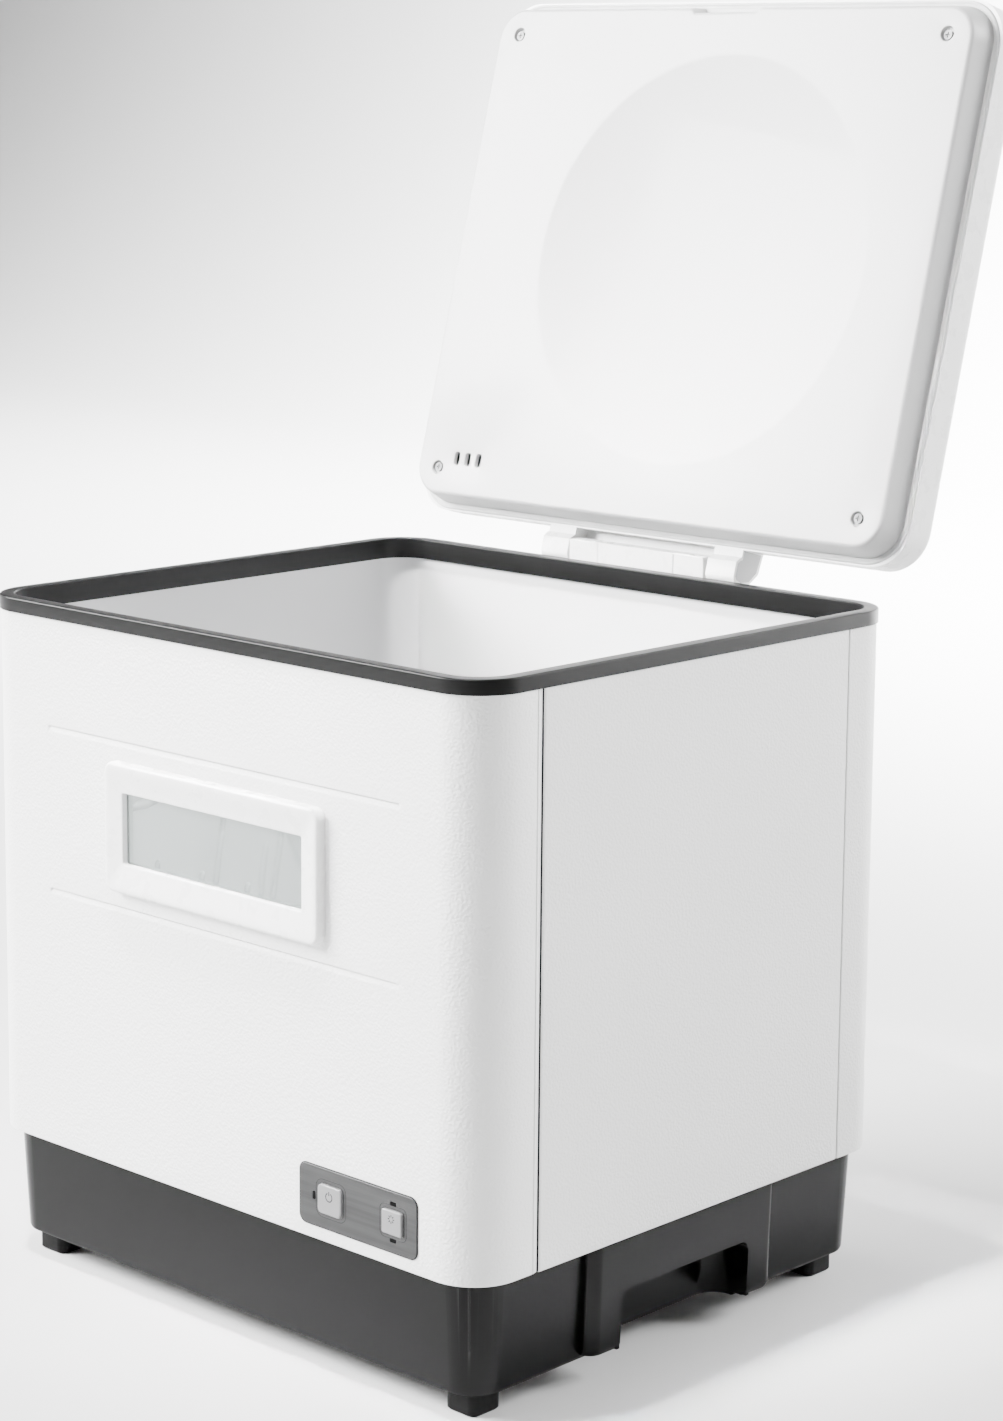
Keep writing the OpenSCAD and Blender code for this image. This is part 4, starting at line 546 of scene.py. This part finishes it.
def make_window_pane():
    """Window pane: flat back with a chamfer, and a front with rounded edges."""
    low, high, mid = box("window_glass")
    place = on_front(mid, high[1])
    thick = high[1] - low[1]
    loop = track(*front_half("window_glass"), WINDOW_R, arc=5)
    section = rows((-PANE_CHAMFER, 0), (0, PANE_CHAMFER), (0, thick - PANE_SOFT),
                   arc_rows(-PANE_SOFT, thick - PANE_SOFT, PANE_SOFT, 20, 90, 4))
    back_v, back_f = plate([offset(loop, -PANE_CHAMFER)], 0.0, place)
    parts = [sweep(loop, section, place), plate([offset(loop, -PANE_SOFT)], thick, place),
             (back_v, back_f[:, ::-1])]
    piece("window_pane", parts, "housing", "window_glass", ["window_glass"])


def lamp_spots():
    """Middle and half sizes of the three lamp slots, relative to the plate's middle."""
    _, _, plate_mid = box("control_plate")
    low, _, _ = box("indicator_lenses")
    _, _, start = box("start_button")
    half_l, half_s = LAMP_LONG / 2, LAMP_SHORT / 2
    beside_power = (low[0] + half_s - plate_mid[0], 0, half_s, half_l)
    start_x = start[0] - plate_mid[0]
    return [beside_power] + [(start_x, k * LAMP_PITCH, half_l, half_s) for k in (-1, 1)]


def make_plate():
    """Control plate: brushed face with openings, a fine dark edge and faint frames round the buttons."""
    _, _, mid = box("control_plate")
    place = on_front(mid)
    edge = track(*front_half("control_plate"), PLATE_R, arc=12)
    ridge = rows((LINE_FOOT, PLATE_T), (LINE_TOP, PLATE_T + LINE_RISE), (-LINE_TOP, PLATE_T + LINE_RISE),
                 (-LINE_FOOT, PLATE_T))
    openings, walls, frames = [], [], []
    for key, (_, w, h, r) in KEYS.items():
        _, _, key_mid = box(key)
        x, z = key_mid[0] - mid[0], key_mid[2] - mid[2]
        hole = moved(track(w / 2 + BUTTON_GAP, h / 2 + BUTTON_GAP, r + BUTTON_GAP, arc=8, run=4), x, z)
        openings.append(offset(hole, HOLE_SOFT))
        walls.append(sweep(hole, rows((HOLE_SOFT, PLATE_T), (0, PLATE_T - HOLE_SOFT), (0, 0)), place))
        line = moved(track(w / 2 + LINE_OUT, h / 2 + LINE_OUT, r + LINE_R, arc=8, run=4), x, z)
        frames.append(sweep(line, ridge, place))
    for x, z, half_x, half_z in lamp_spots():
        slot = moved(track(half_x + LAMP_GAP, half_z + LAMP_GAP, LAMP_R, arc=5, run=2), x, z)
        openings.append(slot[0])
        walls.append(sweep(slot, rows((0, PLATE_T), (0, 0)), place))
    rise = rows((-EDGE_W, FACE_FROM), (-EDGE_W, PLATE_T - PLATE_SOFT), (-EDGE_W - PLATE_SOFT, PLATE_T))
    face = plate([offset(edge, -(EDGE_W + PLATE_SOFT))] + openings, PLATE_T, place)
    piece("plate_face", [sweep(edge, rise, place), face] + walls, "housing", "plate_metal",
          ["control_plate"], crease=30)
    border = rows((0, 0), (0, EDGE_T - PLATE_SOFT),
                  arc_rows(-PLATE_SOFT, EDGE_T - PLATE_SOFT, PLATE_SOFT, 20, 90, 3),
                  (-EDGE_W, EDGE_T), (-EDGE_W, 0))
    piece("plate_edge", [sweep(edge, border, place)], "housing", "plate_metal", material=EDGE_DARK)
    piece("button_frames", frames, "housing", "plate_metal", material=EDGE_DARK)


def make_button(key):
    """Cap of a push button: straight sides just outside those of the solid, a rounded edge and a
    slightly crowned face."""
    body, w, h, r = KEYS[key]
    low, _, mid = box(key)
    place = on_front(mid)
    shoulder = FRONT_Y - low[1] - CAP_CROWN
    loop = track(w / 2 + CAP_PROUD, h / 2 + CAP_PROUD, r + CAP_PROUD, arc=8, run=4)
    side = rows((0, -CAP_ROOT), (0, shoulder - CAP_SOFT),
                arc_rows(-CAP_SOFT, shoulder - CAP_SOFT, CAP_SOFT, 15, 90))
    piece(key + "_cap", [sweep(loop, side, place), pillow(loop, -CAP_SOFT, shoulder, CAP_CROWN, place)],
          body, "button_grey")


def stroke(points, place, up):
    """Raised line along a flat path: a ribbon of half width MARK_HALF and height MARK_RISE, whose
    top is 0.8 as wide, and whose sides and ends run down to the face."""
    points = np.array(points)
    along = np.gradient(points, axis=0)
    along /= np.linalg.norm(along, axis=1)[:, None]
    side = np.stack([-along[:, 1], along[:, 0]], 1)
    points = np.vstack([points[:1], points, points[-1:]])
    side = np.vstack([side[:1], side, side[-1:]])
    across = np.array([-1, -0.8, 0.8, 1]) * MARK_HALF
    tops = np.array([0, 1, 1, 0])[None] * MARK_RISE * np.r_[0, np.ones(len(points) - 2), 0][:, None]
    flat = points[:, None] - across[None, :, None] * side[:, None]
    verts, faces = grid(place(flat[..., 0], flat[..., 1], up + tops), wrap=False)
    return verts, faces[:, ::-1]


def make_marks():
    """Generic marks: an open ring with a bar on the power button, eight short rays on the other."""
    gap_from, gap_to, rays = 62, 118, 8
    turn = np.radians(np.linspace(gap_to, 360 + gap_from, 40))
    open_ring = MARK_R * np.stack([np.cos(turn), np.sin(turn)], 1)
    bar = [(0, 0.4 * MARK_R), (0, 1.35 * MARK_R)]
    spokes = [[(k * math.cos(a) * MARK_R, k * math.sin(a) * MARK_R) for k in (0.5, 1.0)]
              for a in np.linspace(0, 2 * math.pi, rays, endpoint=False)]
    for key, drawn in (("power_button", [open_ring, bar]), ("start_button", spokes)):
        low, _, mid = box(key)
        place = on_front(mid + (0, 0, MARK_UP))
        parts = [stroke(line, place, FRONT_Y - low[1] - MARK_SINK) for line in drawn]
        piece(key + "_mark", parts, KEYS[key][0], "button_grey", material=MARK_GREY)


# ------------------------------------------------------------------ the lid's inner side

def panel_side():
    """Leaning sides and rounded edge of the panel. The upper rows step in by the notch, which eases
    in at both of its ends. Gives the surface and the outline of the flat face."""
    path, normals = track(PANEL_W, PANEL_D, PANEL_R, arc=12, run=160)
    on_free_edge = normals[:, 1] > 0.999
    into = np.clip((NOTCH_W / 2 + NOTCH_WIDER - np.abs(path[:, 0])) / NOTCH_END, 0, 1)
    dent = NOTCH_D * ease(into) * on_free_edge
    lean = LINER_LEAN * (1 - PANEL_LEDGE / PANEL_DEPTH)
    edge_from = PANEL_DEPTH - PANEL_SOFT
    low = rows((LINER_LEAN, -PANEL_ROOT), (LINER_LEAN, 0), (lean, PANEL_LEDGE - NOTCH_STEP))
    high = rows((lean, PANEL_LEDGE), (PANEL_BULGE + PANEL_DRAFT, edge_from),
                arc_rows(PANEL_BULGE - PANEL_SOFT, edge_from, PANEL_SOFT, 14, 90, 7))
    section = rows(low, high)
    dented = np.repeat([0, 1], [len(low), len(high)])
    out = section[:, :1] - dented[:, None] * dent[None]
    side = path[None] + out[..., None] * normals[None]
    depth = np.broadcast_to(section[:, 1:], out.shape)
    return grid(under_lid(side[..., 0], side[..., 1], depth)), side[-1]


def dish():
    """Round dish: the cap of a ball, depth = sqrt(ball^2 - r^2) - (ball - DISH_DEPTH), which runs
    into the face as (cap + sqrt(cap^2 + DISH_BLEND^2)) / 2. Rings lie closest at its edge."""
    ball = (DISH_R ** 2 + DISH_DEPTH ** 2) / (2 * DISH_DEPTH)
    r = np.concatenate([DISH_R + np.linspace(7, -3, 21) * MM, DISH_R - np.linspace(4, 24, 8) * MM,
                        np.linspace(DISH_R - 29 * MM, 0, 16)])
    cap = np.sqrt(ball ** 2 - r ** 2) - (ball - DISH_DEPTH)
    dip = (cap + np.sqrt(cap * cap + DISH_BLEND ** 2)) / 2
    dip -= dip[0] * (r / r[0]) ** 8
    edge = ring(r[0], 144, (DISH_X, -(PANEL_D - DISH_S)))
    return sweep(edge, np.stack([r - r[0], PANEL_DEPTH - dip], 1), under_lid), edge[0]


def screw_recess(sx, sv):
    """Round recess of a screw in one corner, with a rounded mouth and foot."""
    hole = ring(RECESS_R, 40, (sx * (PANEL_W - SCREW_IN), sv * (PANEL_D - SCREW_S)))
    floor = PANEL_DEPTH - RECESS_DEEP
    wall = rows((RECESS_MOUTH, PANEL_DEPTH),
                arc_rows(RECESS_MOUTH, PANEL_DEPTH - RECESS_MOUTH, RECESS_MOUTH, 100, 180, 4),
                (0, floor + RECESS_FOOT), arc_rows(-RECESS_FOOT, floor + RECESS_FOOT, RECESS_FOOT, 0, -90, 3),
                (-RECESS_R, floor))
    return sweep(hole, wall, under_lid), offset(hole, RECESS_MOUTH)


def vent_slot(i):
    """One of the three vent slots, counted -1, 0, 1, with a soft mouth."""
    slot = moved(track(VENT_W / 2, VENT_L / 2, VENT_R, arc=6, run=3),
                 -(PANEL_W - VENT_IN) + i * VENT_PITCH, -(PANEL_D - VENT_S))
    lip = VENT_MOUTH / 4
    wall = rows((VENT_MOUTH, PANEL_DEPTH), (lip, PANEL_DEPTH - lip), (0, PANEL_DEPTH - VENT_MOUTH - lip),
                (0, PANEL_DEPTH - VENT_DEEP))
    return sweep(slot, wall, under_lid), offset(slot, VENT_MOUTH)


def make_lid_panel():
    """Inner panel of the lid: its sides, what is let into its face, and the face between them."""
    side, outline = panel_side()
    let_in = [dish()] + [screw_recess(sx, sv) for sx in (-1, 1) for sv in (-1, 1)]
    let_in += [vent_slot(i) for i in (-1, 0, 1)]
    surfaces, cuts = zip(*let_in)
    face = plate([outline, *cuts], PANEL_DEPTH, under_lid)
    # the panel takes the darker copy of the white moulding, which paints its shade
    piece("lid_panel", [side, *surfaces, face], "lid", "white_plastic", ["lid_liner"], crease=40,
          material=LID_SHADED_WHITE)


def make_lid_seal():
    """Lid seal: a soft strip with two beads, carried round between the lid's wall and the panel."""
    inset = LID_WALL + SEAL_IN
    loop = track(HALF_W - inset, HALF_D - inset, PANEL_R + LINER_LEAN + SEAL_CORNER, arc=12)
    section = rows((SEAL_LIP, -SEAL_ROOT), (SEAL_LIP, 0),
                   arc_rows(SEAL_LIP - OUTER_BEAD_R, 0, OUTER_BEAD_R, 0, 150, 8),
                   arc_rows(INNER_BEAD_OUT, 0, INNER_BEAD_R, 60, 180, 6),
                   (-SEAL_BACK, SEAL_FLAT), (-SEAL_BACK, -SEAL_ROOT))
    piece("seal_strip", [sweep(loop, section, under_lid)], "lid", "seal_grey", ["lid_seal"], crease=60)


def make_ear_shade_patches():
    """Grey patches on the outer sides of the lid's two ears: painted shade where each side is hollow.
    The outline is given about the hinge's axis, with the lid closed: to the rear and up."""
    outline = np.array([(-13.5, -2), (-7.8, -2), (-6.8, -4.2), (-4.8, -6.2), (3.4, -6.2), (5.4, -4.8),
                        (6.6, 0), (4.8, 8), (-1.8, 13.8), (-13.5, 15.5)]) * MM
    for side, name in SIDES.items():
        x = side * (EAR_OUT + EAR_SHADE_LIFT)
        face, tris = plate([outline], 0.0, lambda y, z, w: opened(x, y, z))
        piece("ear_shade_patch_" + name, [(face, tris[:, ::side])], "lid", "white_plastic", material=EAR_SHADE_GREY)


# ------------------------------------------------------------------ materials

# sockets of a Mix node that mixes colours, where names aren't unique
MIX_SHARE, MIX_A, MIX_B, MIX_RESULT = 0, 6, 7, 2


def grey(value):
    """Neutral colour."""
    return value, value, value


class Shader:
    """Short way to wire a procedural material: one Principled shader, patterns on Object coordinates."""

    def __init__(self, name, colour, rough, metal=0.0, coat=0.0):
        self.mat = bpy.data.materials.new(name)
        self.mat.use_nodes = True
        self.tree = self.mat.node_tree
        self.bsdf = self.tree.nodes["Principled BSDF"]
        self.bsdf.inputs["Base Color"].default_value = (*colour, 1)
        self.bsdf.inputs["Roughness"].default_value = rough
        self.bsdf.inputs["Metallic"].default_value = metal
        self.bsdf.inputs["Coat Weight"].default_value = coat
        self.colour = colour
        self.coords = self.tree.nodes.new("ShaderNodeTexCoord").outputs["Object"]
        self.height = None

    def add(self, kind, **settings):
        """New node, with settings that name either one of its inputs or one of its properties."""
        node = self.tree.nodes.new(kind)
        for key, value in settings.items():
            if key in node.inputs:
                node.inputs[key].default_value = value
            else:
                setattr(node, key, value)
        return node

    def link(self, a, b):
        """Joins an output to an input."""
        self.tree.links.new(a, b)

    def stretched(self, scale):
        """Object coordinates, scaled along each axis."""
        mapping = self.add("ShaderNodeMapping")
        mapping.inputs["Scale"].default_value = scale
        self.link(self.coords, mapping.inputs["Vector"])
        return mapping.outputs["Vector"]

    def noise(self, scale, detail=3.0, stretch=None):
        """Clouds, with their scale in clouds per metre."""
        node = self.add("ShaderNodeTexNoise", Scale=scale, Detail=detail)
        self.link(self.stretched(stretch) if stretch else self.coords, node.inputs["Vector"])
        return node.outputs["Fac"]

    def cells(self, scale, feature="F1"):
        """Distance to the nearest of scattered points, with their scale in cells per metre."""
        node = self.add("ShaderNodeTexVoronoi", Scale=scale)
        node.feature = feature
        self.link(self.coords, node.inputs["Vector"])
        return node.outputs["Distance"]

    def spread(self, value, low, high, a=0.0, b=1.0):
        """Carries the range low to high of a pattern over to a to b."""
        node = self.add("ShaderNodeMapRange")
        node.inputs["From Min"].default_value = low
        node.inputs["From Max"].default_value = high
        node.inputs["To Min"].default_value = a
        node.inputs["To Max"].default_value = b
        self.link(value, node.inputs["Value"])
        return node.outputs["Result"]

    def tint(self, value, other, low=0.3, high=0.7):
        """Colour drifts between the base and another colour."""
        mix = self.add("ShaderNodeMix", data_type="RGBA")
        mix.inputs[MIX_A].default_value = (*self.colour, 1)
        mix.inputs[MIX_B].default_value = (*other, 1)
        self.link(self.spread(value, low, high), mix.inputs[MIX_SHARE])
        self.link(mix.outputs[MIX_RESULT], self.bsdf.inputs["Base Color"])

    def rough(self, value, a, b, low=0.3, high=0.7):
        """Roughness drifts between a and b."""
        self.link(self.spread(value, low, high, a, b), self.bsdf.inputs["Roughness"])

    def bump(self, value, depth, strength):
        """Height in metres; bumps chain one after the other."""
        node = self.add("ShaderNodeBump", Strength=strength, Distance=depth)
        self.link(value, node.inputs["Height"])
        if self.height is not None:
            self.link(self.height, node.inputs["Normal"])
        self.height = node.outputs["Normal"]
        self.link(self.height, self.bsdf.inputs["Normal"])


def plain_floor():
    """Matt white paper of the backdrop."""
    s = Shader("floor_white", grey(0.68), 0.85)
    s.bump(s.noise(40), 0.2 * MM, 0.2)
    return s.mat


def grained_paint():
    """White paint with a fine leather grain: soft cells about 1.3 mm wide over a slow waviness."""
    s = Shader("grained_paint", (0.80, 0.80, 0.795), 0.42)
    s.tint(s.noise(9, 2), (0.77, 0.77, 0.765))
    s.rough(s.noise(260, 2), 0.36, 0.5)
    s.bump(s.noise(14, 2), 0.8 * MM, 0.12)
    s.bump(s.cells(640, "SMOOTH_F1"), 0.45 * MM, 0.8)
    s.bump(s.noise(1500, 3), 0.1 * MM, 0.6)
    return s.mat


def white_moulding(name, colour, rough):
    """Smooth pale plastic with a faint flow mark and a very fine surface."""
    s = Shader(name, colour, rough, coat=0.12)
    s.tint(s.noise(6, 2), tuple(c * 0.975 for c in colour))
    s.rough(s.noise(90, 3), rough - 0.04, rough + 0.06)
    s.bump(s.noise(2400, 2), 0.03 * MM, 0.35)
    return s.mat


def black_moulding(name, colour, rough, specular=0.5):
    """Dark plastic: even colour, slightly cloudy gloss and a fine spark-eroded grain."""
    s = Shader(name, colour, rough)
    s.bsdf.inputs["Specular IOR Level"].default_value = specular
    s.tint(s.noise(9, 2), tuple(c * 1.15 for c in colour))
    s.rough(s.noise(24, 2), rough - 0.02, rough + 0.03)
    s.bump(s.noise(1600, 2), 0.04 * MM, 0.4)
    return s.mat


def brushed_plate():
    """Brushed metal: long thin streaks along X in height, colour and gloss."""
    s = Shader("brushed_plate", (0.047, 0.0473, 0.0476), 0.42, metal=0.9)
    streaks = s.noise(1.0, 4, stretch=(18, 900, 1500))
    bands = s.noise(1.0, 3, stretch=(9, 90, 260))
    s.tint(bands, (0.064, 0.0643, 0.0646), 0.35, 0.7)
    s.rough(streaks, 0.32, 0.5)
    s.bump(streaks, 0.06 * MM, 0.6)
    return s.mat


def soft_rubber(name, colour, rough, specular=0.5):
    """Rubber: cloudy colour, uneven gloss and a grain like fine sand."""
    s = Shader(name, colour, rough)
    s.bsdf.inputs["Specular IOR Level"].default_value = specular
    s.tint(s.noise(60, 3), tuple(c * 0.9 for c in colour))
    s.rough(s.noise(300, 3), rough - 0.06, rough + 0.08)
    s.bump(s.noise(1500, 3), 0.06 * MM, 0.6)
    return s.mat


def plain_steel(name, colour, rough):
    """Bare metal with cloudy colour and gloss."""
    s = Shader(name, colour, rough, metal=1.0)
    s.tint(s.noise(40, 3), tuple(c * 0.88 for c in colour))
    s.rough(s.noise(180, 3), rough - 0.08, rough + 0.1)
    s.bump(s.noise(900, 2), 0.03 * MM, 0.4)
    return s.mat


def window_pane():
    """Toughened glass, faintly green in its depth."""
    s = Shader("window_pane", (0.86, 0.93, 0.91), 0.03)
    s.bsdf.inputs["Transmission Weight"].default_value = 0.9
    s.bsdf.inputs["IOR"].default_value = 1.45
    s.rough(s.noise(30, 2), 0.02, 0.05)
    return s.mat


def circuit_green():
    """Lacquered circuit board with a fine pattern of tracks."""
    s = Shader("circuit_green", (0.03, 0.14, 0.06), 0.45)
    s.tint(s.noise(400, 2), (0.05, 0.2, 0.09), 0.45, 0.55)
    s.bump(s.cells(500), 0.1 * MM, 0.4)
    return s.mat


MATERIALS = {
    "white_paint": grained_paint(),
    "white_plastic": white_moulding("white_moulding", (0.82, 0.82, 0.815), 0.28),
    "tub_grey": white_moulding("tub_moulding", (0.79, 0.79, 0.795), 0.32),
    "rim_black": black_moulding("satin_black", grey(0.0045), 0.34, specular=0.1),
    "base_black": black_moulding("base_black", grey(0.0008), 0.2, specular=0.11),
    "foot_rubber": soft_rubber("foot_rubber", grey(0.003), 0.5, specular=0.1),
    "seal_grey": soft_rubber("seal_grey", (0.66, 0.665, 0.66), 0.55),
    "window_glass": window_pane(),
    "plate_metal": brushed_plate(),
    "button_grey": white_moulding("button_grey", (0.17, 0.17, 0.172), 0.4),
    "lamp_dark": black_moulding("lamp_dark", grey(0.001), 0.15, specular=0.05),
    "tray_dark": black_moulding("tray_dark", grey(0.03), 0.5),
    "board_green": circuit_green(),
    "steel": plain_steel("plain_steel", (0.09, 0.091, 0.092), 0.42),
    "pump_grey": black_moulding("pump_grey", (0.07, 0.075, 0.08), 0.5),
    "motor_grey": plain_steel("motor_grey", (0.3, 0.31, 0.32), 0.4),
    "hose_black": soft_rubber("hose_black", grey(0.015), 0.55),
    "arm_grey": white_moulding("arm_grey", (0.5, 0.51, 0.525), 0.35),
    "wire_grey": white_moulding("wire_coating", (0.36, 0.365, 0.37), 0.32),
    "sensor_cream": white_moulding("sensor_cream", (0.55, 0.5, 0.34), 0.45),
}
EDGE_DARK = black_moulding("plate_edge_dark", (0.012, 0.012, 0.013), 0.45, specular=0.15)
MARK_GREY = black_moulding("mark_grey", grey(0.008), 0.5, specular=0.1)
# dark bare metal for the sheets' backs and cut edges: real bare steel, made darker to paint the shade in the seams
BARE_BACK_SEAM_SHADE = plain_steel("bare_back_seam_shade", (0.06, 0.06, 0.062), 0.5)
# darker copy of the white moulding for the lid panel alone: painted shade, not a different plastic
LID_SHADED_WHITE = white_moulding("lid_panel_shaded_white", grey(0.5), 0.5)
# grey of the ears' side patches: painted shade of the hollow in each ear's outer side
EAR_SHADE_GREY = white_moulding("ear_hollow_shade_grey", (0.26, 0.26, 0.262), 0.4)
SLOT_OF = {s["node"]: s["material_slot"] for s in frame["record"]["subparts"]}

# ------------------------------------------------------------------ the carried-over nodes

# bevel widths in millimetres; the other nodes keep sharp edges
EASED = {"front_shell": 0.5, "side_panel_left": 0.5, "side_panel_right": 0.5, "rear_shell": 0.5,
         "lid_shell": 0.5, "lid_liner": 0.6, "base_pan": 0.6, "window_frame": 0.35, "tub": 0.6,
         "control_plate": 0.15, "power_button": 0.3, "start_button": 0.3, "hinge_bracket": 0.6,
         "hinge_block_left": 0.6, "hinge_block_right": 0.6, "lid_seal": 0.35, "tub_rim": 0.4}
BEVEL_OVER, SHARP_OVER = math.radians(40), math.radians(38)


def dress_nodes():
    """Every carried-over node: its own material, corners merged and edges eased by a small bevel."""
    for name, ob in nodes.items():
        ob.data.materials.clear()
        ob.data.materials.append(MATERIALS[SLOT_OF[name]])
        ob.modifiers.new("merge", "WELD").merge_threshold = SAME_CORNER
        if name in EASED:
            bevel = ob.modifiers.new("ease", "BEVEL")
            bevel.width = EASED[name] * MM
            bevel.segments = 2
            bevel.limit_method = "ANGLE"
            bevel.angle_limit = BEVEL_OVER
            bevel.harden_normals = True
        else:
            ob.modifiers.new("split", "EDGE_SPLIT").split_angle = SHARP_OVER
        ob.modifiers.new("even", "WEIGHTED_NORMAL").keep_sharp = True
        for p in ob.data.polygons:
            p.use_smooth = True


dress_nodes()
aim_camera()
studio()
backdrop()
make_rim()
make_front_sheet()
for side in SIDES:
    make_side_sheet(side)
make_window_frame()
make_window_pane()
make_plate()
for key in KEYS:
    make_button(key)
make_marks()
make_lid_panel()
make_lid_seal()
make_ear_shade_patches()
